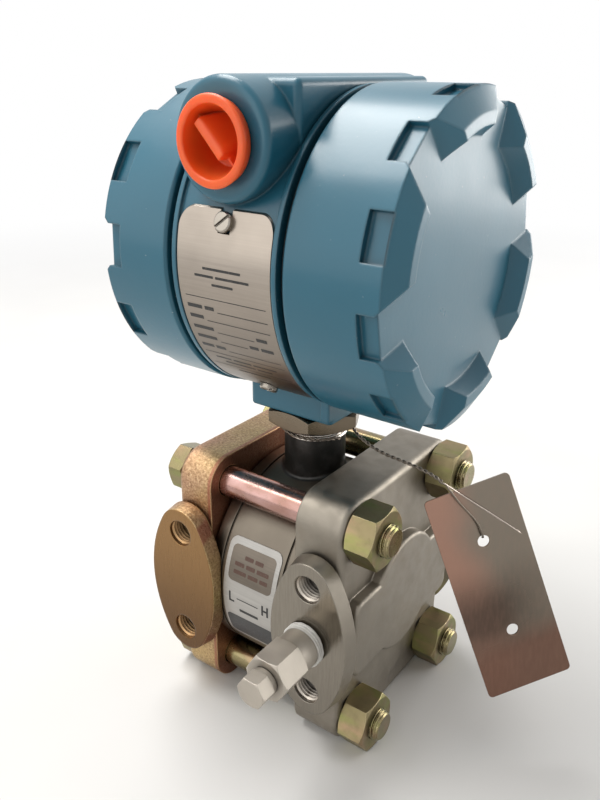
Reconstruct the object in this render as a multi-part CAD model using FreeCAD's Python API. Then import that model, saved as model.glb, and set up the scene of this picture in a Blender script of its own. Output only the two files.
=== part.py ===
import FreeCAD, Part
import math
import os
from FreeCAD import Vector

# Gauge-pressure transmitter: a drum-shaped sensor module between two bolted flanges,
# with a round electronics housing on its neck. Millimetres, +Z up, +X along the module
# and housing axis, origin in the middle of the process flange's foot. The functions work
# about the middle of the module, and save() moves each piece to the origin.

# Fits and clearances
running_fit = 0.06
seat_gap = 0.3
bolt_hole_clearance = 0.3
hexagon_bevel_angle = 30.0

# Flange bolting
bolt_radius = 5.55
bolt_drum_clearance = 0.98
bolt_angle = 54.53
bolt_head_across_flats = 15.9
bolt_head_height = 7.0
bolt_tip_past_nut = 3.0
nut_across_flats = 19.05
nut_height = 10.1
nut_turn = 5.0
bolt_head_turn = 43.0
bolt_tip_bevel = 0.8

# Sensor module and neck
module_radius = 40.0
module_half_width = 18.5
module_rim_width = 5.0
module_groove = 0.8
lobe_radius = 10.3
neck_radius = 11.2
neck_flare_radius = 1.3
neck_thread_radius = 10.5
neck_thread_start = 56.6
neck_bore_radius = 6.5
chamber_radius = 22.0
chamber_depth = 2.6
diaphragm_thickness = 0.5
diaphragm_wave = 0.5
diaphragm_waves = 4
gasket_inner_radius = 26.0
gasket_width = 3.2
gasket_thickness = 2.4

# Flanges
process_flange_thickness = 18.2
blank_flange_thickness = 15.5
plateau_height = 4.3
plateau_rise = 13.0
plateau_fall = 17.0
plateau_margin = 3.3
plateau_corner = 4.0
boss_radius = 22.4
casting_round = 2.4
pad_face_offset = 43.9
pad_half_width = 15.0
pad_end_radius = 9.3
pad_side_depth = 5.5
pad_draft = 0.9
pad_root_depth = 10.0
pad_undercut = 6.0
port_half_spacing = 28.0
pad_hole_spacing = 41.3
pad_hole_radius = 4.95
pad_hole_depth = 15.0
port_radius = 5.6
port_depth = 16.0
passage_radius = 3.2

# Vent valve
valve_collar_radius = 7.0
valve_collar_length = 6.5
valve_hex_across_flats = 14.3
valve_hex_length = 12.0
valve_thread_length = 12.0
valve_standoff = 3.4
tape_wrap = 2.2
stem_radius = 3.0
stem_hex_across_flats = 9.5
stem_hex_length = 5.6
stem_collar_length = 1.6

# Lock nut and base block
lock_nut_across_flats = 31.0
lock_nut_height = 6.4
lock_nut_bottom = 58.2
lock_nut_turn = 26.3
neck_seal_section = 1.4
neck_seal_height = 8.0
base_half_length = 17.2
base_half_width = 16.0
base_corner = 2.0
base_rib_from = 13.6
base_rib_proud = 1.4
base_rib_corner = 0.6
socket_depth = 11.0
wire_hole_radius = 3.0

# Electronics housing
housing_axis_rise = 121.0
housing_shift = 1.2
body_radius = 49.0
body_half_width = 19.3
body_ring_proud = 1.0
body_ring_width = 1.6
thread_wall = 5.0
thread_length = 7.5
thread_step = 4.0
partition_face = 7.2
hub_drop = 13.2
hub_radius = 16.7
hub_proud = 0.2
hub_round = 2.0
hub_bore_radius = 9.4
hub_bore_depth = 15.5
hub_passage_radius = 8.0
hub_passage_end = 18.5
bridge_half_width = 36.5
bridge_half_length = 17.0
bridge_drop = 0.8
bridge_round = 2.0

# Covers
cover_proud = 0.5
cover_gap = 2.2
cover_thread_wall = 3.6
cover_skirt_length = 23.9
cover_disc_offset = 29.3
cover_wall = 4.5
cover_shoulder = 30.8
cover_tip_offset = 34.9
terminal_cover_trim = 4.2
lug_outer_slope = 6.9
lug_tip_width = 3.4
lug_inner_slope = 3.2
cover_edge = 0.8
lug_count = 6
lug_tip_angle = 27.5
pocket_angle = 15.0
pocket_depth = 2.2
circuit_cover_phase = 71.5
terminal_cover_phase = 57.2
cover_seal_section = 1.7
cover_seal_depth = 3.9
cover_seal_crown = 0.4

# Conduit plug
plug_ring_radius = 12.15
plug_ring_length = 3.8
plug_recess_radius = 9.0
plug_recess_floor_radius = 7.2
plug_recess_depth = 9.0
plug_shank_length = 12.5
plug_bar_width = 4.2
plug_bar_drop = 1.2
plug_bar_step = 2.0
plug_bar_angle = -42.0

# Nameplate and adjusters
plate_half_length = 17.3
plate_thickness = 0.8
plate_hub_clearance = 1.6597
plate_end_angle = 149.5
plate_corner = 5.0
plate_slot_width = 4.4
plate_screw_inset_angle = 4.0
plate_screw_head_radius = 3.0
plate_screw_head_height = 1.7
plate_screw_shank_radius = 1.7
plate_screw_length = 6.0
plate_screw_slot = 0.8
plate_screw_turn = 40.0
plate_slot_past_screw = 2.2
adjuster_half_spacing = 5.5
adjuster_radius = 2.0
adjuster_length = 6.5
adjuster_recess = 0.8

# Terminal block and boards
block_half_width = 26.0
block_bottom = -22.0
block_top = 8.0
block_thickness = 10.0
block_rib_height = 3.0
block_rib_width = 1.6
terminal_pitch = 12.0
terminal_count = 4
terminal_head_radius = 3.4
terminal_head_height = 2.4
terminal_head_bevel = 1.0
terminal_shank_radius = 1.8
terminal_shank_length = 6.0
board_clearance = 4.4
board_thickness = 1.6
board_post_radius = 2.6
board_post_inset = 6.0
board_post_count = 4
first_board_offset = 9.5
second_board_offset = 9.0
board_screw_head_radius = 2.9
board_screw_head_height = 1.8
board_screw_head_bevel = 0.6

# Soldered parts on the boards: sideways, up, width, depth, height
amplifier_parts = [(-12, 8, 14, 12, 6.5), (11, -10, 10, 10, 5.5), (10, 12, 8, 6, 4), (-10, -12, 9, 7, 4)]
calibration_parts = [(0, 14, 10, 9, 6), (-13, -6, 6, 12, 5), (13, -6, 6, 12, 5), (0, -14, 12, 6, 4)]
soldered_part_bevel = 0.5

# Foil label, tag and tag wire
label_half_length = 11.4
label_start_angle = 57.0
label_end_angle = 118.0
label_thickness = 0.25
label_corner = 3.0
tag_width = 30.4
tag_height = 75.5
tag_thickness = 0.8
tag_corner = 1.6
tag_hole_radius = 2.1
tag_hole_inset = 20.0
tag_hole_spacing = 34.0
tag_top_corner = Vector(47.8, -5.1, 41.4)
tag_across = Vector(0.6655, 0.6779, 0.3123)
tag_down = Vector(0.3905, 0.0265, -0.9202)
wire_diameter = 1.3
wire_bend_share = 0.45
wire_stand_off = 2.0
wire_hang = 6.0
wire_points = [
    Vector(12.9, -2.2, 54.4),
    Vector(9.7, -8.8, 54.8),
    Vector(3.0, -12.8, 55.4),
    Vector(-4.2, -12.4, 56.0),
    Vector(-10.4, -8.0, 56.6),
    Vector(-13.1, -1.0, 57.0),
    Vector(-11.4, 6.4, 57.1),
    Vector(-5.8, 11.8, 57.1),
    Vector(1.2, 13.1, 57.0),
    Vector(7.8, 10.6, 56.9),
    Vector(12.4, 5.2, 56.8),
    Vector(17.4, 0.4, 56.2),
    Vector(24.2, -1.8, 54.6),
    Vector(30.6, -1.8, 53.0),
    Vector(37.0, -1.0, 52.2),
    Vector(43.4, -1.4, 51.6),
    Vector(49.6, -1.6, 50.6),
    Vector(54.6, -1.4, 47.8),
    Vector(58.0, -0.6, 43.4),
]

# Heights and planes that follow from the sizes above
bolt_circle = module_radius + bolt_drum_clearance + bolt_radius
bolt_half_width = bolt_circle * math.cos(math.radians(bolt_angle))
bolt_half_height = bolt_circle * math.sin(math.radians(bolt_angle))
axis_height = bolt_half_height + lobe_radius
housing_height = axis_height + housing_axis_rise
joint_plane = body_half_width + cover_gap
process_seat = module_half_width + process_flange_thickness
blank_seat = module_half_width + blank_flange_thickness
base_bottom = axis_height + lock_nut_bottom + lock_nut_height + seat_gap
hub_height = housing_height + body_radius - hub_drop
hub_face_offset = body_radius + hub_proud
bore_floor = body_half_width - thread_length - seat_gap
body_ring_radius = body_radius + body_ring_proud
thread_radius = body_radius - thread_wall
terminal_chamber_radius = thread_radius - thread_step
cover_radius = body_ring_radius + cover_proud
cover_bore_radius = thread_radius - cover_thread_wall
cover_tip_outer_radius = cover_radius - lug_outer_slope
cover_tip_inner_radius = cover_tip_outer_radius - lug_tip_width
cover_disc_radius = cover_tip_inner_radius - lug_inner_slope
board_radius = cover_bore_radius - board_clearance
board_post_circle = board_radius - board_post_inset
plate_top = body_radius - hub_drop - hub_radius - plate_hub_clearance
plate_start_angle = math.degrees(math.acos(plate_top / (body_radius + plate_thickness)))
plate_middle_angle = (plate_start_angle + plate_end_angle) / 2
foot_offset = module_half_width + (process_flange_thickness - casting_round) / 2


def polygon_face(points):
    return Part.Face(Part.makePolygon(list(points) + [points[0]]))


def turned_x(profile, z=axis_height):
    """Solid turned about the X axis at height z from (x, radius) points."""
    face = polygon_face([Vector(x, 0, z - r) for x, r in profile])
    return face.revolve(Vector(0, 0, z), Vector(1, 0, 0), 360)


def turned_y(profile, x, z):
    """Solid turned about a Y axis through (x, z) from (y, radius) points."""
    face = polygon_face([Vector(x + r, y, z) for y, r in profile])
    return face.revolve(Vector(x, 0, z), Vector(0, 1, 0), 360)


def turned_z(profile):
    """Solid turned about the Z axis from (z, radius) points."""
    face = polygon_face([Vector(r, 0, z) for z, r in profile])
    return face.revolve(Vector(0, 0, 0), Vector(0, 0, 1), 360)


def hexagon(across_flats, length, turn=0.0):
    """Hexagon prism along +X from the origin, with both ends' corners turned off."""
    corner = across_flats / math.sqrt(3)
    bevel = (corner - across_flats / 2) * math.tan(math.radians(hexagon_bevel_angle))
    angles = [math.radians(turn + 60 * k) for k in range(6)]
    face = polygon_face([Vector(0, corner * math.cos(a), corner * math.sin(a)) for a in angles])
    turned = turned_x([(0, 0), (0, across_flats / 2), (bevel, corner), (length - bevel, corner),
                       (length, across_flats / 2), (length, 0)], 0)
    return face.extrude(Vector(length, 0, 0)).common(turned)


def along_x_cylinder(radius, x_from, x_to, y, z):
    return Part.makeCylinder(radius, x_to - x_from, Vector(x_from, y, z), Vector(1, 0, 0))


def along_y_cylinder(radius, y_from, y_to, x, z):
    return Part.makeCylinder(radius, y_to - y_from, Vector(x, y_from, z), Vector(0, 1, 0))


def along_z_cylinder(radius, z_from, z_to, x=0.0, y=0.0):
    return Part.makeCylinder(radius, z_to - z_from, Vector(x, y, z_from))


def edges_along(shape, direction):
    """Straight edges of a shape that run along one direction."""
    found = []
    for edge in shape.Edges:
        run = edge.Vertexes[-1].Point - edge.Vertexes[0].Point
        if run.Length > 0 and abs(abs(run.normalize().dot(direction)) - 1) < 1e-6:
            found.append(edge)
    return found


def edges_on_plane(shape, axis, value):
    """Edges that lie whole on a plane across one axis."""
    found = []
    for edge in shape.Edges:
        box = edge.BoundBox
        low, high = {"x": (box.XMin, box.XMax), "y": (box.YMin, box.YMax), "z": (box.ZMin, box.ZMax)}[axis]
        if abs(low - value) < 1e-4 and abs(high - value) < 1e-4:
            found.append(edge)
    return found


def block(x_from, x_to, y_half, z_from, z_to):
    size = (x_to - x_from, 2 * y_half, z_to - z_from)
    return Part.makeBox(*size, Vector(x_from, -y_half, z_from))


def save(name, shape):
    """Writes a piece, moved so that the origin is in the middle of the process flange's foot."""
    placed = shape.copy()
    placed.translate(Vector(-foot_offset, 0, 0))
    placed.exportStep("parts/" + name + ".step")


def on_housing(shape):
    """Moves a shape to the housing's own middle, which lies beside the neck's axis."""
    placed = shape.copy()
    placed.translate(Vector(housing_shift, 0, 0))
    return placed


def half_turn(shape, z=0.0):
    """The same shape turned half a turn about the upright axis."""
    copy = shape.copy()
    copy.rotate(Vector(0, 0, z), Vector(0, 0, 1), 180)
    return copy


def bolt_centres():
    return [(y, axis_height + z) for y in (-bolt_half_width, bolt_half_width)
            for z in (-bolt_half_height, bolt_half_height)]


# Sensor module: drum with rim bands, flared neck and threaded neck end
def sensor_module():
    rim = module_half_width - module_rim_width
    groove_floor = module_radius - module_groove
    gasket_outer = gasket_inner_radius + gasket_width
    seat = module_half_width - gasket_thickness / 2
    pocket = module_half_width - chamber_depth
    half = [(0, module_radius), (rim - module_groove, module_radius), (rim - module_groove, groove_floor),
            (rim, groove_floor), (rim, module_radius), (module_half_width - module_groove, module_radius),
            (module_half_width, groove_floor), (module_half_width, gasket_outer), (seat, gasket_outer),
            (seat, gasket_inner_radius), (module_half_width, gasket_inner_radius),
            (module_half_width, chamber_radius), (pocket, chamber_radius), (pocket, 0)]
    drum = turned_x([(-x, r) for x, r in reversed(half)] + half[1:])
    top = axis_height + neck_thread_start
    body = drum.fuse(along_z_cylinder(neck_radius, axis_height, top))
    body = body.makeFillet(neck_flare_radius, neck_root_edges(body))
    end = base_bottom + socket_depth - seat_gap
    seal_low = base_bottom + neck_seal_height
    seal_high = seal_low + neck_seal_section
    seal_floor = neck_thread_radius - neck_seal_section
    thread = turned_z([(top, 0), (top, neck_thread_radius), (seal_low, neck_thread_radius),
                       (seal_low, seal_floor), (seal_high, seal_floor), (seal_high, neck_thread_radius),
                       (end, neck_thread_radius), (end, 0)])
    bore = along_z_cylinder(neck_bore_radius, axis_height + module_radius / 2, end)
    return body.fuse(thread).cut(bore).removeSplitter()


def neck_root_edges(shape):
    """Edges where the neck meets the drum."""
    found = []
    for edge in shape.Edges:
        point = edge.valueAt((edge.FirstParameter + edge.LastParameter) / 2)
        on_neck = abs(math.hypot(point.x, point.y) - neck_radius) < 1e-3
        if on_neck and point.z < axis_height + module_radius + seat_gap:
            found.append(edge)
    return found


def diaphragm(side):
    """Corrugated disc on the floor of the module's face recess; side is +1 or -1."""
    floor = module_half_width - chamber_depth + diaphragm_wave
    pitch = (chamber_radius - running_fit) / (2 * diaphragm_waves + 1)
    ridge = [(floor + (diaphragm_wave if k % 2 else 0.0) - (diaphragm_wave if k == 0 else 0.0), k * pitch)
             for k in range(2 * diaphragm_waves + 2)]
    outer = [(x + diaphragm_thickness, r) for x, r in reversed(ridge)]
    disc = turned_x([(side * x, r) for x, r in ridge + outer])
    low = min(x for x, _ in ridge) - (module_half_width - chamber_depth)
    disc.translate(Vector(-side * low, 0, 0))
    return disc


def gasket(side):
    seat = module_half_width - gasket_thickness / 2
    outer = gasket_inner_radius + gasket_width
    ring = turned_x([(seat, gasket_inner_radius), (seat + gasket_thickness, gasket_inner_radius),
                     (seat + gasket_thickness, outer), (seat, outer)])
    return ring if side > 0 else half_turn(ring)


# Flanges: rounded plate with corner lobes, oval pads on both sides and a raised middle band
def pad_outline(y, draft):
    """Oval of two end arcs about the tapped holes and two long side arcs tangent to them."""
    half_width = pad_half_width + draft
    end_radius = pad_end_radius + draft
    reach = pad_hole_spacing / 2
    shift = (reach ** 2 - (half_width - end_radius) ** 2) / (2 * (half_width - end_radius))
    side_radius = half_width + shift
    touch = math.atan2(reach, shift)
    tx = side_radius * math.cos(touch) - shift
    tz = side_radius * math.sin(touch)

    def at(x, z):
        return Vector(port_half_spacing + x, y, axis_height + z)

    arcs = [Part.Arc(at(tx, -tz), at(half_width, 0), at(tx, tz)),
            Part.Arc(at(tx, tz), at(0, reach + end_radius), at(-tx, tz)),
            Part.Arc(at(-tx, tz), at(-half_width, 0), at(-tx, -tz)),
            Part.Arc(at(-tx, -tz), at(0, -reach - end_radius), at(tx, -tz))]
    return Part.Wire([arc.toShape() for arc in arcs])


def flange(thickness, ported):
    """Flange on the +X side of the module, its inner face on the module's face."""
    seat = module_half_width + thickness
    half_width = bolt_half_width + lobe_radius
    plate = block(module_half_width, seat, half_width, 0, 2 * axis_height)
    plate = plate.makeFillet(lobe_radius, edges_along(plate, Vector(1, 0, 0)))
    plate = plate.makeFillet(casting_round, edges_on_plane(plate, "x", seat))
    top = seat + plateau_height
    band = block(module_half_width + thickness / 2, top, half_width - plateau_margin,
                 axis_height - plateau_fall, axis_height + plateau_rise)
    band = band.makeFillet(plateau_corner, edges_along(band, Vector(1, 0, 0)))
    band = band.fuse(along_x_cylinder(boss_radius, module_half_width + thickness / 2, top, 0, axis_height))
    band = band.removeSplitter()
    band = band.makeFillet(casting_round / 2, edges_on_plane(band, "x", top))
    face = pad_outline(-pad_face_offset, 0.0)
    brow = pad_outline(pad_side_depth - pad_face_offset, pad_draft)
    root = pad_outline(pad_root_depth - pad_face_offset, -pad_undercut)
    pad = Part.makeLoft([face, brow, root], True, True)
    body = plate.fuse([band, pad, half_turn_about_x(pad)])
    clear_drum = along_x_cylinder(module_radius + seat_gap, 0, module_half_width, 0, axis_height)
    gasket_outer = gasket_inner_radius + gasket_width
    recess = turned_x([(module_half_width, gasket_inner_radius),
                       (module_half_width + gasket_thickness / 2, gasket_inner_radius),
                       (module_half_width + gasket_thickness / 2, gasket_outer),
                       (module_half_width, gasket_outer)])
    cuts = [clear_drum, recess]
    for y, z in bolt_centres():
        cuts.append(along_x_cylinder(bolt_radius + bolt_hole_clearance, 0, top, y, z))
    for z in (-pad_hole_spacing / 2, pad_hole_spacing / 2):
        for y in (-pad_face_offset, pad_face_offset - pad_hole_depth):
            cuts.append(along_y_cylinder(pad_hole_radius, y, y + pad_hole_depth, port_half_spacing,
                                         axis_height + z))
    if ported:
        cuts.append(along_x_cylinder(chamber_radius, module_half_width, module_half_width + chamber_depth,
                                     0, axis_height))
        cuts.append(along_x_cylinder(passage_radius, module_half_width, port_half_spacing, 0, axis_height))
        cuts.append(along_y_cylinder(passage_radius, -pad_face_offset, pad_face_offset, port_half_spacing,
                                     axis_height))
        for y in (-pad_face_offset, pad_face_offset - port_depth):
            cuts.append(along_y_cylinder(port_radius, y, y + port_depth, port_half_spacing, axis_height))
    return body.cut(cuts).removeSplitter()


def half_turn_about_x(shape):
    copy = shape.copy()
    copy.rotate(Vector(0, 0, axis_height), Vector(1, 0, 0), 180)
    return copy


def flange_bolts():
    length = bolt_head_height + blank_seat + process_seat + nut_height + bolt_tip_past_nut
    head = hexagon(bolt_head_across_flats, bolt_head_height, bolt_head_turn)
    shank = turned_x([(bolt_head_height / 2, 0), (bolt_head_height / 2, bolt_radius),
                      (length - bolt_tip_bevel, bolt_radius), (length, bolt_radius - bolt_tip_bevel),
                      (length, 0)], 0)
    return placed_copies(head.fuse(shank), -blank_seat - bolt_head_height)


def flange_nuts():
    nut = hexagon(nut_across_flats, nut_height, nut_turn)
    bore = along_x_cylinder(bolt_radius + running_fit, 0, nut_height, 0, 0)
    return placed_copies(nut.cut(bore), process_seat)


def placed_copies(shape, x):
    """Copies of one fastener on the four bolt centres."""
    copies = []
    for y, z in bolt_centres():
        copy = shape.copy()
        copy.translate(Vector(x, y, z))
        copies.append(copy)
    return Part.makeCompound(copies)


# Vent valve in the process flange's front port
valve_tape_face = -pad_face_offset - seat_gap
valve_collar_face = -pad_face_offset - valve_standoff
valve_hex_face = valve_collar_face - valve_collar_length
valve_end = valve_hex_face - valve_hex_length


def hexagon_toward_front(across_flats, length, y_start):
    """Hexagon prism on the port axis, running toward -Y from y_start."""
    shape = hexagon(across_flats, length)
    shape.rotate(Vector(0, 0, 0), Vector(0, 0, 1), -90)
    shape.translate(Vector(port_half_spacing, y_start, axis_height))
    return shape


def vent_valve_body():
    thread = port_radius - running_fit
    inner = -pad_face_offset + valve_thread_length
    turned = turned_y([(inner, 0), (inner, thread), (valve_collar_face, thread),
                       (valve_collar_face, valve_collar_radius), (valve_hex_face, valve_collar_radius),
                       (valve_hex_face, 0)], port_half_spacing, axis_height)
    body = turned.fuse(hexagon_toward_front(valve_hex_across_flats, valve_hex_length, valve_hex_face))
    bore = along_y_cylinder(stem_radius + running_fit, valve_end, inner, port_half_spacing, axis_height)
    return body.cut(bore).removeSplitter()


def vent_seal_tape():
    inner = port_radius
    return turned_y([(valve_tape_face, inner), (valve_tape_face, inner + tape_wrap),
                     (valve_collar_face, inner + tape_wrap), (valve_collar_face, inner)],
                    port_half_spacing, axis_height)


def vent_valve_stem():
    collar_face = valve_end - seat_gap
    hex_face = collar_face - stem_collar_length
    inner = -pad_face_offset + valve_thread_length / 2
    collar = stem_hex_across_flats / 2
    shank = turned_y([(inner + stem_radius / 2, 0), (inner, stem_radius), (collar_face, stem_radius),
                      (collar_face, collar), (hex_face, collar), (hex_face, 0)],
                     port_half_spacing, axis_height)
    return shank.fuse(hexagon_toward_front(stem_hex_across_flats, stem_hex_length, hex_face)).removeSplitter()


# Neck lock nut and neck seal
def neck_lock_nut():
    nut = hexagon(lock_nut_across_flats, lock_nut_height, lock_nut_turn)
    nut.rotate(Vector(0, 0, 0), Vector(0, 1, 0), -90)
    bottom = axis_height + lock_nut_bottom
    nut.translate(Vector(0, 0, bottom))
    return nut.cut(along_z_cylinder(neck_thread_radius + running_fit, bottom, base_bottom))


def neck_seal():
    low = base_bottom + neck_seal_height
    floor = neck_thread_radius - neck_seal_section
    return turned_z([(low, floor), (low, neck_thread_radius),
                     (low + neck_seal_section, neck_thread_radius), (low + neck_seal_section, floor)])


# Electronics housing: ringed drum, two conduit hubs joined by a bridge, base block on the neck
def electronics_housing():
    ring = body_half_width - body_ring_width
    body = turned_x([(-body_half_width, 0), (-body_half_width, body_ring_radius), (-ring, body_ring_radius),
                     (-ring, body_radius), (ring, body_radius), (ring, body_ring_radius),
                     (body_half_width, body_ring_radius), (body_half_width, 0)], housing_height)
    hub = along_y_cylinder(hub_radius, -hub_face_offset, hub_face_offset, 0, hub_height)
    for face in (-hub_face_offset, hub_face_offset):
        hub = hub.makeFillet(hub_round, edges_on_plane(hub, "y", face))
    bridge_top = hub_height + hub_radius - bridge_drop
    bridge = block(-bridge_half_length, bridge_half_length, bridge_half_width, housing_height, bridge_top)
    bridge = bridge.makeFillet(bridge_round, edges_along(bridge, Vector(0, 0, 1))
                               + edges_on_plane(bridge, "z", bridge_top))
    base_top = housing_height - body_radius / 2
    base = block(-base_half_length, base_half_length, base_half_width, base_bottom, base_top)
    base = base.makeFillet(base_corner, edges_along(base, Vector(0, 0, 1)))
    base = base.makeFillet(base_corner / 2, edges_on_plane(base, "z", base_bottom))
    rib = block(base_rib_from, base_half_length, base_half_width + base_rib_proud,
                base_bottom + base_corner, base_top)
    rib = rib.makeFillet(base_rib_corner, edges_along(rib, Vector(0, 0, 1)))
    solid = on_housing(body.fuse([hub, bridge])).fuse([base, rib])
    bore = thread_radius + running_fit
    terminal_end = -body_half_width + thread_length + seat_gap
    cuts = [along_x_cylinder(bore, -body_half_width, terminal_end, 0, housing_height),
            along_x_cylinder(terminal_chamber_radius, terminal_end, partition_face, 0, housing_height),
            along_x_cylinder(bore, bore_floor, body_half_width, 0, housing_height)]
    neck_cuts = [along_z_cylinder(neck_thread_radius + running_fit, base_bottom, base_bottom + socket_depth),
                 along_z_cylinder(wire_hole_radius, base_bottom, base_top)]
    for way in (-1, 1):
        mouth = way * hub_face_offset
        step = way * (hub_face_offset - hub_bore_depth)
        cuts.append(along_y_cylinder(hub_bore_radius, min(mouth, step), max(mouth, step), 0, hub_height))
        end = way * hub_passage_end
        cuts.append(along_y_cylinder(hub_passage_radius, min(step, end), max(step, end), 0, hub_height))
    for angle in plate_screw_angles():
        cuts.append(radial(Part.makeCylinder(plate_screw_shank_radius, plate_screw_length,
                                             Vector(0, 0, body_radius - plate_screw_length)), angle))
    for x in (-adjuster_half_spacing, adjuster_half_spacing):
        hole = Part.makeCylinder(adjuster_radius + running_fit, body_radius, Vector(x, 0, 0))
        cuts.append(radial(hole, plate_middle_angle))
    return solid.cut([on_housing(cut) for cut in cuts] + neck_cuts).removeSplitter()


def radial(shape, angle):
    """Turns a shape from upright to an angle about the housing axis, 90 degrees facing -Y."""
    copy = shape.copy()
    copy.rotate(Vector(0, 0, 0), Vector(1, 0, 0), angle)
    copy.translate(Vector(0, 0, housing_height))
    return copy


def plate_screw_angles():
    return (plate_start_angle + plate_screw_inset_angle, plate_end_angle - plate_screw_inset_angle)


# Covers: deep screw caps with six sloped lugs and a row of shallow pockets
def cover(trim):
    """Cover on the +X side with a lug straight up, its axis on the X axis; trim shortens its skirt."""
    def at(offset):
        return joint_plane - trim + offset

    disc = at(cover_disc_offset)
    tip = at(cover_tip_offset)
    inside = disc - cover_wall
    thread_end = body_half_width - thread_length
    solid = turned_x([(thread_end, cover_bore_radius), (thread_end, thread_radius), (joint_plane, thread_radius),
                      (joint_plane, cover_radius - cover_edge), (joint_plane + cover_edge, cover_radius),
                      (at(cover_shoulder), cover_radius), (tip, cover_tip_outer_radius),
                      (tip, cover_tip_inner_radius), (disc, cover_disc_radius), (disc, 0),
                      (inside, 0), (inside, cover_bore_radius)], 0)
    pitch = 360.0 / lug_count
    half_floor = cover_radius * math.sin(math.radians(pocket_angle / 2))
    half_mouth = cover_tip_outer_radius * math.sin(math.radians((pitch - lug_tip_angle) / 2))
    rise = cover_tip_offset - cover_disc_offset
    slope = (half_mouth - half_floor) / rise
    outer = half_mouth + slope * rise
    gap = polygon_face([Vector(disc, -half_floor, 0), Vector(disc, half_floor, 0),
                        Vector(tip + rise, outer, 0), Vector(tip + rise, -outer, 0)])
    gap = gap.extrude(Vector(0, 0, 2 * cover_radius))
    pocket = block(at(cover_skirt_length), at(cover_shoulder), half_floor, cover_radius - pocket_depth,
                   2 * cover_radius)
    cuts = []
    for k in range(lug_count):
        cuts.append(about_axis(gap, pitch * (k + 0.5)))
        cuts.append(about_axis(pocket, pitch * k))
        cuts.append(about_axis(pocket, pitch * (k + 0.5)))
    return solid.cut(cuts)


def about_axis(shape, angle):
    copy = shape.copy()
    copy.rotate(Vector(0, 0, 0), Vector(1, 0, 0), angle)
    return copy


def circuit_cover():
    shape = about_axis(cover(0.0), circuit_cover_phase)
    shape.translate(Vector(0, 0, housing_height))
    return shape


def terminal_cover():
    shape = about_axis(half_turn(cover(terminal_cover_trim)), terminal_cover_phase)
    shape.translate(Vector(0, 0, housing_height))
    return shape


def cover_seal(side):
    low = body_half_width + (cover_gap - cover_seal_section) / 2
    high = low + cover_seal_section
    inner = thread_radius + running_fit
    outer = inner + cover_seal_depth
    crown = cover_seal_crown
    ring = turned_x([(low, inner), (high, inner), (high, outer - crown), (high - crown, outer),
                     (low + crown, outer), (low, outer - crown)], housing_height)
    return ring if side > 0 else half_turn(ring)


# Conduit plug: ringed cup with a stepped grip bar across it
def conduit_plug():
    back = -hub_face_offset - seat_gap
    face = back - plug_ring_length
    floor = face + plug_recess_depth
    tip = -hub_face_offset + plug_shank_length
    shank = hub_bore_radius - running_fit
    cup = turned_y([(tip, 0), (tip, shank), (back, shank), (back, plug_ring_radius), (face, plug_ring_radius),
                    (face, plug_recess_radius), (floor, plug_recess_floor_radius), (floor, 0)], 0, hub_height)
    bar_top = face + plug_bar_drop
    reach = plug_recess_radius
    inner = reach - plug_bar_step
    end_top = bar_top + plug_bar_step
    outline = [(-reach, floor), (reach, floor), (reach, end_top), (inner, end_top),
               (inner - plug_bar_step, bar_top), (-inner + plug_bar_step, bar_top),
               (-inner, end_top), (-reach, end_top)]
    bar = polygon_face([Vector(x, y, -plug_bar_width / 2) for x, y in outline])
    bar = bar.extrude(Vector(0, 0, plug_bar_width))
    bar.rotate(Vector(0, 0, 0), Vector(0, 1, 0), -plug_bar_angle)
    bar.translate(Vector(0, 0, hub_height))
    keep = along_y_cylinder((plug_recess_radius + plug_ring_radius) / 2, face, tip, 0, hub_height)
    return cup.fuse(bar.common(keep)).removeSplitter()


# Nameplate, its screws and the two adjusters behind it
def bent_sheet(radius, thickness, half_length, start, end, corner, height, slot):
    """Rounded sheet bent to a radius about an X axis, cut by a straight look along its middle."""
    middle = (start + end) / 2
    half_height = (radius + thickness) * math.sin(math.radians((end - start) / 2))
    shell = along_x_cylinder(radius + thickness, -half_length, half_length, 0, 0)
    shell = shell.cut(along_x_cylinder(radius, -half_length, half_length, 0, 0))
    window = Part.makeBox(2 * half_length, 2 * half_height, radius * 2, Vector(-half_length, -half_height, 0))
    window = window.makeFillet(corner, edges_along(window, Vector(0, 0, 1)))
    sheet = shell.common(window)
    if slot:
        screw_at = radius * math.sin(math.radians((end - start) / 2 - plate_screw_inset_angle))
        inner = screw_at - plate_slot_past_screw
        mouth = Part.makeBox(slot, half_height, 2 * radius, Vector(-slot / 2, inner, 0))
        sheet = sheet.cut([mouth, half_turn(mouth)])
    sheet.rotate(Vector(0, 0, 0), Vector(1, 0, 0), middle)
    sheet.translate(Vector(0, 0, height))
    return sheet


def nameplate():
    return bent_sheet(body_radius, plate_thickness, plate_half_length, plate_start_angle, plate_end_angle,
                      plate_corner, housing_height, plate_slot_width)


def nameplate_screws():
    under_head = body_radius + plate_thickness
    top = under_head + plate_screw_head_height
    screw = turned_z([(body_radius - plate_screw_length, 0),
                      (body_radius - plate_screw_length, plate_screw_shank_radius),
                      (under_head, plate_screw_shank_radius), (under_head, plate_screw_head_radius),
                      (top - plate_screw_slot / 2, plate_screw_head_radius),
                      (top, plate_screw_head_radius - plate_screw_slot / 2), (top, 0)])
    slot = Part.makeBox(4 * plate_screw_head_radius, plate_screw_slot, plate_screw_slot,
                        Vector(-2 * plate_screw_head_radius, -plate_screw_slot / 2, top - plate_screw_slot))
    slot.rotate(Vector(0, 0, 0), Vector(0, 0, 1), plate_screw_turn)
    screw = screw.cut(slot)
    return Part.makeCompound([radial(screw, angle) for angle in plate_screw_angles()])


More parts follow.
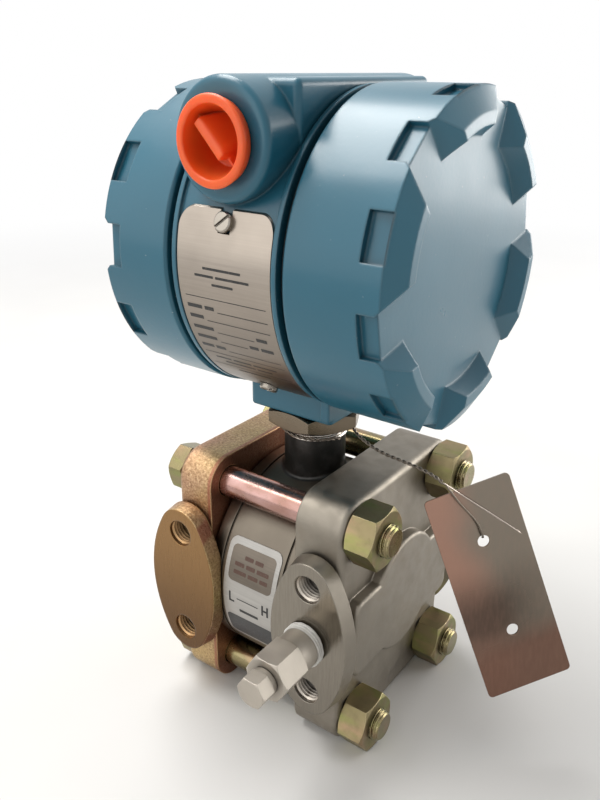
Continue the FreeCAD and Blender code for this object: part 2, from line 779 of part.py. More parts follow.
def adjuster(x):
    top = body_radius - adjuster_recess
    screw = Part.makeCylinder(adjuster_radius, adjuster_length, Vector(0, 0, top - adjuster_length))
    slot = Part.makeBox(4 * adjuster_radius, plate_screw_slot, plate_screw_slot,
                        Vector(-2 * adjuster_radius, -plate_screw_slot / 2, top - plate_screw_slot))
    screw = screw.cut(slot)
    screw.translate(Vector(x, 0, 0))
    return radial(screw, plate_middle_angle)


# Terminal block with barrier ribs, and its screws
def terminal_positions():
    return [(k - (terminal_count - 1) / 2) * terminal_pitch for k in range(terminal_count)]


def terminal_block():
    face = partition_face - block_thickness
    body = block(face, partition_face, block_half_width, housing_height + block_bottom,
                 housing_height + block_top)
    body = body.makeFillet(block_rib_height, edges_along(body, Vector(1, 0, 0)))
    middle = housing_height + (block_bottom + block_top) / 2
    ribs = []
    low = housing_height + block_bottom + block_rib_height
    high = housing_height + block_top - block_rib_height
    for y in terminal_positions() + [terminal_positions()[-1] + terminal_pitch]:
        rib = block(face - block_rib_height, face, block_rib_width / 2, low, high)
        rib.translate(Vector(0, y - terminal_pitch / 2, 0))
        ribs.append(rib)
    holes = [along_x_cylinder(terminal_shank_radius, face, face + terminal_shank_length, y, middle)
             for y in terminal_positions()]
    return body.fuse(ribs).cut(holes).removeSplitter()


def terminal_screws():
    face = partition_face - block_thickness
    middle = housing_height + (block_bottom + block_top) / 2
    screws = []
    for y in terminal_positions():
        head = turned_x([(face + terminal_shank_length, 0),
                         (face + terminal_shank_length, terminal_shank_radius),
                         (face, terminal_shank_radius), (face, terminal_head_radius),
                         (face - terminal_head_height + terminal_head_bevel, terminal_head_radius),
                         (face - terminal_head_height, terminal_head_radius - terminal_head_bevel),
                         (face - terminal_head_height, 0)], middle)
        slot = block(face - terminal_head_height, face - terminal_head_height / 2, terminal_head_radius,
                     middle - plate_screw_slot / 2, middle + plate_screw_slot / 2)
        screw = head.cut(slot)
        screw.translate(Vector(0, y, 0))
        screws.append(screw)
    return Part.makeCompound(screws)


# Circuit boards on posts, in the compartment behind the circuit cover
first_board = bore_floor + first_board_offset
second_board = first_board + board_thickness + second_board_offset


def post_centres():
    angles = [math.radians(45 + 360.0 / board_post_count * k) for k in range(board_post_count)]
    return [(board_post_circle * math.cos(a), housing_height + board_post_circle * math.sin(a)) for a in angles]


def board(x, parts):
    """Round board with soldered parts on its outer face; parts are (y, z, width, depth, height)."""
    disc = along_x_cylinder(board_radius, x, x + board_thickness, 0, housing_height)
    bodies = []
    for y, z, width, depth, height in parts:
        body = Part.makeBox(height, width, depth, Vector(x + board_thickness, y - width / 2,
                                                         housing_height + z - depth / 2))
        top_edges = edges_on_plane(body, "x", x + board_thickness + height)
        bodies.append(body.makeChamfer(soldered_part_bevel, top_edges))
    return disc.fuse(bodies)


def amplifier_board():
    return board(first_board, amplifier_parts)


def calibration_board():
    return board(second_board, calibration_parts)


def board_spacers():
    posts = []
    for y, z in post_centres():
        posts.append(along_x_cylinder(board_post_radius, bore_floor, first_board, y, z))
        posts.append(along_x_cylinder(board_post_radius, first_board + board_thickness, second_board, y, z))
    return Part.makeCompound(posts)


def board_screws():
    face = second_board + board_thickness
    top = face + board_screw_head_height
    screws = []
    for y, z in post_centres():
        head = turned_x([(face, 0), (face, board_screw_head_radius),
                         (top - board_screw_head_bevel, board_screw_head_radius),
                         (top, board_screw_head_radius - board_screw_head_bevel), (top, 0)], z)
        slot = block(top - board_screw_head_height / 2, top, board_screw_head_radius, z - plate_screw_slot / 2,
                     z + plate_screw_slot / 2)
        screw = head.cut(slot)
        screw.translate(Vector(0, y, 0))
        screws.append(screw)
    return Part.makeCompound(screws)


# Foil label on the drum, and the tag on its twisted wire
def module_label():
    return bent_sheet(module_radius, label_thickness, label_half_length, label_start_angle, label_end_angle,
                      label_corner, axis_height, 0)


tag_side = Vector(tag_across).normalize()
tag_normal = tag_down.cross(tag_side).normalize()
tag_fall = tag_side.cross(tag_normal)


def tag_point(across, down, out=0.0):
    """Point of the tag's front face, counted from its top left corner."""
    corner = tag_top_corner + Vector(0, 0, axis_height)
    return corner + tag_side * across + tag_fall * down + tag_normal * out


def tag_plate():
    face = polygon_face([tag_point(0, 0), tag_point(tag_width, 0), tag_point(tag_width, tag_height),
                         tag_point(0, tag_height)])
    plate = face.extrude(tag_normal * -tag_thickness)
    plate = plate.makeFillet(tag_corner, edges_along(plate, tag_normal))
    for down in (tag_hole_inset, tag_hole_inset + tag_hole_spacing):
        plate = plate.cut(Part.makeCylinder(tag_hole_radius, 3 * tag_thickness,
                                            tag_point(tag_width / 2, down, tag_thickness), tag_normal * -1))
    return plate


def rounded_route(points):
    """Straight runs joined by tangent arcs, each as large as its two runs allow."""
    edges = []
    start = points[0]
    for before, corner, after in zip(points, points[1:], points[2:]):
        back = (before - corner).normalize()
        ahead = (after - corner).normalize()
        turn = math.pi - back.getAngle(ahead)
        reach = wire_bend_share * min((before - corner).Length, (after - corner).Length)
        radius = reach / math.tan(turn / 2)
        print("wire bend radius", round(radius, 1))
        middle = (back + ahead).normalize()
        inset = radius / math.cos(turn / 2) - radius
        enter = corner + back * reach
        leave = corner + ahead * reach
        edges.append(Part.LineSegment(start, enter).toShape())
        edges.append(Part.Arc(enter, corner + middle * inset, leave).toShape())
        start = leave
    edges.append(Part.LineSegment(start, points[-1]).toShape())
    return Part.Wire(edges)


def tag_wire():
    rise = tag_hole_inset - tag_hole_radius + wire_diameter / 2 + running_fit
    points = [point + Vector(0, 0, axis_height) for point in wire_points]
    points.append(tag_point(tag_width / 2, rise - wire_hang, wire_stand_off))
    points.append(tag_point(tag_width / 2, rise, wire_stand_off))
    points.append(tag_point(tag_width / 2, rise, -tag_thickness))
    route = rounded_route(points)
    heading = (points[1] - points[0]).normalize()
    section = Part.Wire(Part.makeCircle(wire_diameter / 2, points[0], heading))
    tube = route.makePipeShell([section], True, True)
    print("wire length", round(route.Length, 1), "volume ratio",
          round(tube.Volume / (math.pi * wire_diameter ** 2 / 4 * route.Length), 4))
    return tube


def main():
    os.makedirs("parts", exist_ok=True)
    save("sensor_module", sensor_module())
    save("high_side_diaphragm", diaphragm(1))
    save("low_side_diaphragm", diaphragm(-1))
    save("high_side_gasket", gasket(1))
    save("low_side_gasket", gasket(-1))
    save("process_flange", flange(process_flange_thickness, True))
    save("blank_flange", half_turn(flange(blank_flange_thickness, False)))
    save("flange_bolts", flange_bolts())
    save("flange_nuts", flange_nuts())
    save("vent_valve_body", vent_valve_body())
    save("vent_valve_stem", vent_valve_stem())
    save("vent_seal_tape", vent_seal_tape())
    save("neck_lock_nut", neck_lock_nut())
    save("neck_seal", neck_seal())
    save("electronics_housing", electronics_housing())
    save("circuit_cover", on_housing(circuit_cover()))
    save("terminal_cover", on_housing(terminal_cover()))
    save("circuit_cover_seal", on_housing(cover_seal(1)))
    save("terminal_cover_seal", on_housing(cover_seal(-1)))
    save("conduit_plug", on_housing(conduit_plug()))
    save("nameplate", on_housing(nameplate()))
    save("nameplate_screws", on_housing(nameplate_screws()))
    save("zero_screw", on_housing(adjuster(-adjuster_half_spacing)))
    save("span_screw", on_housing(adjuster(adjuster_half_spacing)))
    save("terminal_block", on_housing(terminal_block()))
    save("terminal_screws", on_housing(terminal_screws()))
    save("amplifier_board", on_housing(amplifier_board()))
    save("calibration_board", on_housing(calibration_board()))
    save("board_spacers", on_housing(board_spacers()))
    save("board_screws", on_housing(board_screws()))
    save("module_label", module_label())
    save("tag_plate", tag_plate())
    save("tag_wire", tag_wire())


main()
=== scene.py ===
import math

import bpy
import numpy as np
from bpy.props import FloatProperty, FloatVectorProperty, IntProperty, PointerProperty
from mathutils import Matrix, Vector


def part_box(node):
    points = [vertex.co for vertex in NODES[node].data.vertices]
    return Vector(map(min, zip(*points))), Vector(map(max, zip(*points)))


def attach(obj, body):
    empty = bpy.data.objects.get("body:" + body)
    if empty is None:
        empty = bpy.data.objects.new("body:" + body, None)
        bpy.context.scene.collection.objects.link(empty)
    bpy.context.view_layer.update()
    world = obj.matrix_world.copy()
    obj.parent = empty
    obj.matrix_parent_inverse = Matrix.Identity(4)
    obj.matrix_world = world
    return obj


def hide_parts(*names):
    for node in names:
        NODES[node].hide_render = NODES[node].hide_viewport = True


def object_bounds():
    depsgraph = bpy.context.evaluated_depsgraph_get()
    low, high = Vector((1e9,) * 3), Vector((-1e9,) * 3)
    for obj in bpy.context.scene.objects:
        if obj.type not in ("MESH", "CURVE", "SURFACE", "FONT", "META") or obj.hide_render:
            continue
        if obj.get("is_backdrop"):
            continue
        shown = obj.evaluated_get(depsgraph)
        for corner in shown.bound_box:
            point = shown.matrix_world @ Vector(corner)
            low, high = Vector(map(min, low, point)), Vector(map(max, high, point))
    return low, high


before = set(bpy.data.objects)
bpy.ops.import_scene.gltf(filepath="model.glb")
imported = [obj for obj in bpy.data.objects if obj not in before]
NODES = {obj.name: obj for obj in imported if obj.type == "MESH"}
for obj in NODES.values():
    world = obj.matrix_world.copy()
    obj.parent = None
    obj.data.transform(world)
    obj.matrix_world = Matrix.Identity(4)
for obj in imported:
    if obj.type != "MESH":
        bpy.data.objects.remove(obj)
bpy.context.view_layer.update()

bl_info = {
    "name": "Pressure transmitter looks",
    "version": (1, 0, 0),
    "blender": (4, 5, 0),
    "location": "3D View > Sidebar > Transmitter",
    "description": "Threads, print, tag wire, finishes and studio for a flanged pressure transmitter",
    "category": "Object",
}

MM = 0.001
TURN = 2.0 * math.pi


def middle(node):
    """Middle of a node's box at rest."""
    low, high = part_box(node)
    return (low + high) / 2


# Places on the part, read from the solids
DRUM_AXIS = middle("low_side_gasket").z
BLANK_INNER_X = middle("low_side_gasket").x
NECK_X = middle("neck_seal").x
HOUSING_AXIS = middle("circuit_cover_seal").z
HOUSING_X = middle("nameplate").x
PORT_X = middle("vent_valve_stem").x
BLANK_PORT_X = 2 * NECK_X - PORT_X
HUB_Z = middle("conduit_plug").z
PAD_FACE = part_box("process_flange")[1].y

# Upper left corner of the tag, and the directions of its short and long edges
TAG_CORNER = (21.4 * MM, -5.1 * MM, DRUM_AXIS + 41.4 * MM)
TAG_ACROSS = (0.6655, 0.6779, 0.3123)
TAG_DOWN = (0.3905, 0.0265, -0.9202)


def length(name, text, millimetres):
    """A length property, kept in metres."""
    return FloatProperty(name=name, description=text, default=millimetres * MM, min=0.0, max=1.0, unit="LENGTH",
                         precision=5)


def angle(name, text, degrees):
    """An angle property, kept in radians."""
    return FloatProperty(name=name, description=text, default=math.radians(degrees), subtype="ANGLE")


def count(name, text, default, low=24, high=192):
    """A property that counts steps or laps."""
    return IntProperty(name=name, description=text, default=default, min=low, max=high)


def power(name, text, watts):
    """A lamp's power property."""
    return FloatProperty(name=name, description=text, default=watts, min=0.0, unit="POWER")


def colour(name, text, default):
    """A linear colour property."""
    return FloatVectorProperty(name=name, description=text, default=default, min=0.0, max=1.0, size=3,
                               subtype="COLOR")


class ThreadSizes(bpy.types.PropertyGroup):
    """Sizes of the flange bolts and of the threads."""
    bolt_half_width: length("Bolt half width", "Bolt centre to the middle, sideways", 27.0)
    bolt_half_height: length("Bolt half height", "Bolt centre to the drum's axis, upright", 37.894)
    bolt_radius: length("Bolt radius", "Radius of the bolt shank", 5.55)
    bolt_flats: length("Head across flats", "Width of the bolt head across flats", 15.9)
    bolt_head: length("Head height", "Height of the bolt head", 7.0)
    bolt_turn: angle("Head turn", "Turn of the bolt heads", 43.0)
    bolt_thread: length("Bolt thread", "Length of the bolts' cut thread", 7.0)
    bolt_pitch: length("Bolt pitch", "Thread pitch of the bolts and pad holes", 1.27)
    thread_depth: length("Thread depth", "Depth of the bolt and pad threads", 0.72)
    pad_face: length("Pad face", "Pad face to the middle", 43.9)
    pad_hole_spacing: length("Pad hole spacing", "Distance of the two holes of a pad", 41.3)
    pad_hole_radius: length("Pad hole radius", "Radius of the tapped pad holes", 4.95)
    pad_hole_depth: length("Pad hole depth", "Depth of the tapped pad holes", 15.0)
    port_radius: length("Port radius", "Radius of the process ports", 5.6)
    port_depth: length("Port depth", "Depth of the rear port's thread", 15.5)
    port_pitch: length("Port pitch", "Thread pitch of the ports and the vent valve", 1.41)
    port_cut: length("Port thread", "Depth of the port's thread", 0.8)
    hub_face: length("Hub face", "Conduit hub's face to the middle", 49.2)
    hub_bore_radius: length("Conduit radius", "Radius of the conduit hub's bore", 9.4)
    hub_depth: length("Conduit depth", "Depth of the conduit hub's thread", 15.2)
    hub_pitch: length("Conduit pitch", "Thread pitch of the conduit hub", 1.81)
    hub_cut: length("Conduit thread", "Depth of the conduit hub's thread", 0.95)
    tape_ridges: count("Tape ridges", "Laps of the seal tape", 3, 1, 8)
    neck_radius: length("Neck radius", "Radius of the module's neck", 11.2)
    neck_thread: length("Neck thread", "Length of thread in view under the lock nut", 4.6)
    neck_pitch: length("Neck pitch", "Thread pitch of the neck", 1.5)
    columns: count("Columns", "Steps round a large thread", 72)
    hole_columns: count("Hole columns", "Steps round a pad hole's or a port's thread", 56)
    bolt_columns: count("Bolt columns", "Steps round a bolt", 96)
    tape_columns: count("Tape columns", "Steps round the seal tape", 120)


class PlugSizes(bpy.types.PropertyGroup):
    """Sizes of the moulded conduit plug."""
    ring_radius: length("Ring radius", "Outer radius of the plug's ring", 12.15)
    ring_length: length("Ring length", "Length of the ring", 3.8)
    lip: length("Lip", "Rounding of the ring's outer edge", 0.9)
    shank_radius: length("Shank radius", "Radius of the shank in the hub", 9.34)
    recess_radius: length("Recess radius", "Radius of the recess at the face", 9.6)
    recess_floor: length("Recess floor", "Radius of the recess at its floor", 7.3)
    recess_depth: length("Recess depth", "Depth of the recess", 9.0)
    bar_turn: angle("Bar turn", "Fall of the grip bar from level", 47.0)
    bar_height: length("Bar height", "Height of the grip bar over the recess floor", 7.8)
    rib_height: length("Rib height", "Height of the thin ribs at the bar's ends", 5.6)
    flank: length("Bar flank", "Reach of the bar's sloping side at the floor", 5.6)
    columns: count("Columns", "Steps round the plug", 96)


class PrintSizes(bpy.types.PropertyGroup):
    """Places of the print on the nameplate and the label."""
    plate_radius: length("Nameplate radius", "Outer radius of the bent nameplate", 49.8)
    plate_top: angle("Nameplate top", "Angle of the top edge, from straight up", 69.5)
    label_radius: length("Label radius", "Outer radius of the bent label", 40.25)
    label_middle: angle("Label middle", "Angle of the label's middle, from straight up", 87.5)
    ink_height: length("Ink height", "How far print stands proud of its sheet", 0.03)


class WireSizes(bpy.types.PropertyGroup):
    """Sizes of the twisted tag wire."""
    diameter: length("Wire diameter", "Width of the twisted pair", 1.3)
    lay_pitch: length("Twist pitch", "Length of one turn of the twist", 4.2)
    columns: count("Columns", "Steps round a strand", 10, 6, 24)


class FinishColours(bpy.types.PropertyGroup):
    """Base colours of the finishes."""
    paint: colour("Paint", "Gloss paint of the housing", (0.016, 0.122, 0.186))
    blasted_steel: colour("Blasted steel", "Process flange casting", (0.27, 0.243, 0.203))
    gold_plate: colour("Gold plating", "Yellow chromate on the blank flange", (0.50, 0.36, 0.17))
    fastener_plate: colour("Fastener plating", "Yellow zinc on the bolts and nuts", (0.25, 0.205, 0.112))
    turned_steel: colour("Turned steel", "Vent valve and small fasteners", (0.36, 0.328, 0.285))
    lock_nut_steel: colour("Lock nut steel", "Nut under the housing", (0.18, 0.147, 0.108))
    drum_steel: colour("Drum steel", "Satin sensor module", (0.165, 0.142, 0.114))
    sheet_steel: colour("Nameplate steel", "Brushed nameplate", (0.36, 0.315, 0.27))
    # The tag's pink brown is a painted reflection.
    tag_steel: colour("Tag steel", "Rolled tag", (0.33, 0.195, 0.145))
    brass: colour("Brass", "Adjusters, terminal screws and spacers", (0.72, 0.50, 0.20))
    plug: colour("Plug", "Moulded conduit plug", (0.93, 0.125, 0.015))


class StageSettings(bpy.types.PropertyGroup):
    """Camera and light."""
    camera_place: FloatVectorProperty(name="Camera", description="Place of the camera", subtype="XYZ",
                                      default=(0.12147, -0.21459, 0.22349), size=3, unit="LENGTH")
    azimuth: angle("Azimuth", "Camera's way round the object", 35.82)
    elevation: angle("Elevation", "Camera's height over the horizon", 22.97)
    roll: angle("Roll", "Camera's lean", 0.42)
    lens: FloatProperty(name="Lens", description="Focal length", default=35.42, subtype="DISTANCE_CAMERA")
    key_power: power("Key light", "Power of the large top light", 12.0)
    side_power: power("Side light", "Power of the light behind on the right", 6.5)
    front_power: power("Front light", "Power of the light in front on the left", 6.0)
    fill: FloatProperty(name="Fill", description="Strength of the even light all round", default=0.28)


# Meshes from grids

def angles(columns):
    """One turn in equal steps, as a row."""
    return np.linspace(0.0, TURN, columns, endpoint=False)[None, :]


def grid_faces(rows, columns, closed):
    """Quads of a rows by columns grid; a closed grid joins its last column to its first."""
    i = np.arange(rows - 1)[:, None]
    j = np.arange(columns if closed else columns - 1)[None, :]
    k = (j + 1) % columns
    corners = [i * columns + j, i * columns + k, (i + 1) * columns + k, (i + 1) * columns + j]
    return np.stack(np.broadcast_arrays(*corners), axis=-1).reshape(-1, 4)


def mesh_from_grids(name, grids, material, closed=True, flip=False):
    """One mesh from grids of points (rows, columns, 3), each joined row by row with quads.

    A grid's faces count on from the points of the grids before it; flip turns the faces' way round."""
    starts = np.cumsum([0] + [grid.shape[0] * grid.shape[1] for grid in grids])
    faces = [grid_faces(*grid.shape[:2], closed) + start for grid, start in zip(grids, starts)]
    faces = np.concatenate(faces)[:, ::-1 if flip else 1]
    points = np.concatenate([grid.reshape(-1, 3) for grid in grids])
    mesh = bpy.data.meshes.new(name)
    mesh.from_pydata(points.tolist(), [], faces.tolist())
    mesh.validate()
    mesh.materials.append(material)
    return mesh


def piece_from_grids(name, grids, body, material, closed=True, flip=False, sharp=40.0):
    """One smooth mesh object from grids, riding on a body; edges past the sharp angle stay crisp."""
    mesh = mesh_from_grids(name, grids, material, closed, flip)
    mesh.shade_smooth()
    mesh.set_sharp_from_angle(angle=math.radians(sharp))
    piece = bpy.data.objects.new(name, mesh)
    bpy.context.scene.collection.objects.link(piece)
    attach(piece, body)
    return piece


def about_axis(along, radius, theta, axis, centre):
    """Points at a distance along an axis and a radius round it.

    The point is centre + along * axis + radius * (cos(theta) * first + sin(theta) * second), where first and
    second are the two row axes that follow the axis in X, Y, Z order."""
    along, radius, theta = np.broadcast_arrays(along, radius, theta)
    grid = np.zeros(along.shape + (3,))
    grid[..., axis] = along
    grid[..., (axis + 1) % 3] = radius * np.cos(theta)
    grid[..., (axis + 2) % 3] = radius * np.sin(theta)
    return grid + np.asarray(centre, float)


def ramp_up(value, start, end):
    """Smooth step from 0 at start to 1 at end: t * t * (3 - 2 * t) of the share t of the way."""
    t = np.clip((value - start) / (end - start), 0.0, 1.0)
    return t * t * (3.0 - 2.0 * t)


def plateau(value, foot, brim, edge, end):
    """Smooth rise from 0 at foot to 1 at brim, and fall from 1 at edge to 0 at end."""
    return ramp_up(value, foot, brim) * (1.0 - ramp_up(value, edge, end))


def thread_wave(along, theta, pitch):
    """Ridge of a single-start thread: a triangle wave of along / pitch - theta / turn, 0 at the root and 1 at
    the crest, stretched and clipped so that the crest and the root are flat."""
    stretch, drop = 1.35, 0.17
    phase = np.mod(along / pitch - theta / TURN, 1.0)
    return np.clip(np.abs(2.0 * phase - 1.0) * stretch - drop, 0.0, 1.0)


# Node materials

def feed(tree, node, inputs):
    """Links or sets a node's inputs, given by index or name; colours come without alpha."""
    for key, value in dict(inputs).items():
        socket = node.inputs[key]
        if isinstance(value, bpy.types.NodeSocket):
            tree.links.new(value, socket)
        else:
            socket.default_value = (*value, 1.0) if socket.type == "RGBA" else value


def add_node(tree, kind, inputs=(), **settings):
    """A node with its settings and inputs."""
    node = tree.nodes.new(kind)
    for name, value in settings.items():
        setattr(node, name, value)
    feed(tree, node, inputs)
    return node


class Finish:
    """A node material for one finish, read from Object coordinates; scales are waves in a metre."""

    def __init__(self, name):
        self.material = bpy.data.materials.new(name)
        self.material.use_nodes = True
        self.tree = self.material.node_tree
        self.tree.nodes.clear()
        self.shader = add_node(self.tree, "ShaderNodeBsdfPrincipled")
        self.output = add_node(self.tree, "ShaderNodeOutputMaterial", {"Surface": self.shader.outputs["BSDF"]})
        self.place = self.node("ShaderNodeTexCoord", output="Object")

    def node(self, kind, inputs=(), output=0, **settings):
        """One output of a new node."""
        return add_node(self.tree, kind, inputs, **settings).outputs[output]

    def done(self, tone, gloss, normal=None, metal=0.0, extra=()):
        """The material, with the shader's own sockets linked or set."""
        relief = {} if normal is None else {"Normal": normal}
        sockets = {"Base Color": tone, "Roughness": gloss, "Metallic": metal, **relief, **dict(extra)}
        feed(self.tree, self.shader, sockets)
        return self.material

    # Numbers and patterns

    def math(self, operation, a, b=0.0):
        """Result of a sum on two numbers."""
        return self.node("ShaderNodeMath", {0: a, 1: b}, operation=operation)

    def plus(self, a, b):
        """Sum of two numbers."""
        return self.math("ADD", a, b)

    def less(self, a, b):
        """The first number less the second."""
        return self.math("SUBTRACT", a, b)

    def times(self, a, b):
        """Product of two numbers."""
        return self.math("MULTIPLY", a, b)

    def amount(self, a):
        """A number without its sign."""
        return self.math("ABSOLUTE", a)

    def span(self, value, low, high, to_low=0.0, to_high=1.0):
        """Value carried smoothly from one range to another, held at its ends."""
        return self.node("ShaderNodeMapRange", {"Value": value, "From Min": low, "From Max": high, "To Min": to_low,
                                                "To Max": to_high}, "Result", interpolation_type="SMOOTHSTEP")

    def blend(self, share, a, b):
        """Number a where share is 0 and b where it is 1."""
        return self.node("ShaderNodeMix", {0: share, 2: a, 3: b})

    def stretched(self, scale, turn=(0.0, 0.0, 0.0), shift=(0.0, 0.0, 0.0)):
        """Object coordinates moved, turned and stretched."""
        return self.node("ShaderNodeMapping", {"Vector": self.place, "Scale": scale, "Rotation": turn,
                                               "Location": shift})

    def noise(self, scale, detail=2.0, rough=0.5, vector=None):
        """Cloudy noise from 0 to 1."""
        return self.node("ShaderNodeTexNoise", {"Vector": vector or self.place, "Scale": scale, "Detail": detail,
                                                "Roughness": rough}, "Fac")

    def streaks(self, scales, detail, rough, **way):
        """Noise with a scale of its own along each axis, for a grain that runs one way."""
        return self.noise(1.0, detail, rough, self.stretched(scales, **way))

    # Places

    def part(self, axis):
        """One coordinate, in metres."""
        return self.node("ShaderNodeSeparateXYZ", {0: self.place}, axis)

    def along(self, way, corner):
        """How far the surface lies along a direction from a corner, in metres."""
        dot = self.node("ShaderNodeVectorMath", {0: self.place, 1: way}, "Value", operation="DOT_PRODUCT")
        return self.less(dot, sum(a * b for a, b in zip(way, corner)))

    def beyond(self, axis, face):
        """1 on a face that lies as far out as given on either side of the middle, 0 inside it."""
        return self.span(self.amount(self.part(axis)), face - 0.08 * MM, face - 0.02 * MM)

    def beside(self, axis, place, reach):
        """1 at a place on an axis, fading to 0 at the reach on both sides."""
        return self.span(self.amount(self.less(self.part(axis), place)), reach, reach / 2)

    # Relief and wear

    def rounded(self, radius):
        """Normal of the surface with its edges rounded to a radius."""
        return self.node("ShaderNodeBevel", {"Radius": radius}, samples=6)

    def edges(self, rounded):
        """1 along sharp edges and 0 on faces, from how far the rounded normal leaves the true one."""
        true = self.node("ShaderNodeNewGeometry", output="Normal")
        dot = self.node("ShaderNodeVectorMath", {0: rounded, 1: true}, "Value", operation="DOT_PRODUCT")
        return self.span(dot, 0.98, 0.75)

    def hollow(self, distance):
        """1 in corners and recesses and 0 in the open."""
        return self.less(1.0, self.node("ShaderNodeAmbientOcclusion", {"Distance": distance}, "AO", samples=6))

    def bump(self, height, strength, depth, normal=None):
        """Normal with fine relief on it."""
        under = {} if normal is None else {"Normal": normal}
        return self.node("ShaderNodeBump", {"Height": height, "Strength": strength, "Distance": depth, **under})

    # Colours

    def mix(self, share, a, b):
        """Colour a where share is 0 and b where it is 1."""
        return self.node("ShaderNodeMix", {0: share, 6: a, 7: b}, 2, data_type="RGBA")

    def grade(self, value, low, high, a, b, least=0.0, most=1.0):
        """Colour a at a low value, turning to b at a high one; the share of b goes from least to most."""
        return self.mix(self.span(value, low, high, least, most), a, b)

    def sunk(self, tone, distance, share, dark):
        """Tone that turns dark in corners and recesses as painted shade, by a share."""
        return self.mix(self.times(self.hollow(distance), share), tone, dark)

    def painted_edge_highlight(self, tone, rounded, share, bright):
        """Tone that turns bright along edges as a painted highlight, by a share."""
        return self.mix(self.times(self.edges(rounded), share), tone, bright)


def shade(base, share):
    """A colour made lighter or darker by a share."""
    return tuple(min(1.0, c * share) for c in base)


def colours():
    """The finishes' colours in the sidebar."""
    return bpy.context.scene.transmitter_colours


def dress(material, *names):
    """Puts a finish on CAD nodes."""
    for name in names:
        slots = NODES[name].material_slots
        if not slots:
            NODES[name].data.materials.append(material)
        for slot in slots:
            slot.material = material


def paint_finish():
    """Gloss paint over a casting: faint peel, painted highlights as soft pale edges, dust specks and painted shade in
    recesses.
    """
    finish, base = Finish("gloss_blue_paint"), colours().paint
    tone = finish.grade(finish.noise(14.0, 3.0), 0.25, 0.75, shade(base, 0.9), shade(base, 1.1))
    hollow = finish.hollow(7.0 * MM)
    # Painted shade: the paint darkens in corners and recesses.
    tone = finish.mix(finish.times(hollow, 0.65), tone, shade(base, 0.22))
    rounded = finish.rounded(1.1 * MM)
    # Painted highlight: pale blue along edges, kept out of recesses.
    pale = finish.times(finish.edges(rounded), finish.span(hollow, 0.0, 0.3, 0.35, 0.0))
    tone = finish.mix(pale, tone, (0.17, 0.27, 0.32))
    tone = finish.grade(finish.noise(800.0, 1.0), 0.78, 0.83, tone, (0.34, 0.38, 0.39), most=0.4)
    gloss = finish.span(finish.noise(45.0, 4.0), 0.2, 0.8, 0.27, 0.36)
    peel = finish.bump(finish.noise(620.0, 1.0), 0.08, 0.22 * MM, rounded)
    return finish.done(tone, gloss, peel, extra={"Coat Weight": 0.13, "Coat Roughness": 0.16, "IOR": 1.47})


def blasted_steel_finish():
    """Blasted stainless casting: fine grain, uneven tint, machined pad faces with tool marks, painted shade in
    recesses and painted highlights along edges.
    """
    finish, base = Finish("blasted_stainless"), colours().blasted_steel
    tone = finish.grade(finish.noise(30.0, 4.0, 0.6), 0.2, 0.8, shade(base, 0.84), shade(base, 1.14))
    tone = finish.grade(finish.noise(85.0, 4.0, 0.65), 0.5, 0.85, tone, (0.19, 0.145, 0.10), most=0.45)
    # Painted shade in corners and recesses.
    tone = finish.sunk(tone, 4.0 * MM, 0.45, shade(base, 0.3))
    rounded = finish.rounded(0.8 * MM)
    # Painted highlight along edges.
    tone = finish.painted_edge_highlight(tone, rounded, 0.35, shade(base, 1.7))
    machined = finish.beyond(1, PAD_FACE)
    tool = finish.streaks((2400.0, 60.0, 140.0), 3.0, 0.55, turn=(0.0, 0.6, 0.0))
    tone = finish.mix(machined, tone, finish.grade(tool, 0.25, 0.75, shade(base, 0.78), shade(base, 0.95)))
    waves = finish.noise(220.0, 3.0)
    height = finish.plus(finish.times(finish.noise(2400.0, 2.0, 0.6), 0.55), waves)
    height = finish.blend(machined, height, finish.times(tool, 0.25))
    gloss = finish.blend(machined, finish.span(waves, 0.3, 0.7, 0.42, 0.54), finish.span(tool, 0.3, 0.7, 0.18, 0.26))
    return finish.done(tone, gloss, finish.bump(height, 0.38, 0.16 * MM, rounded), 1.0)


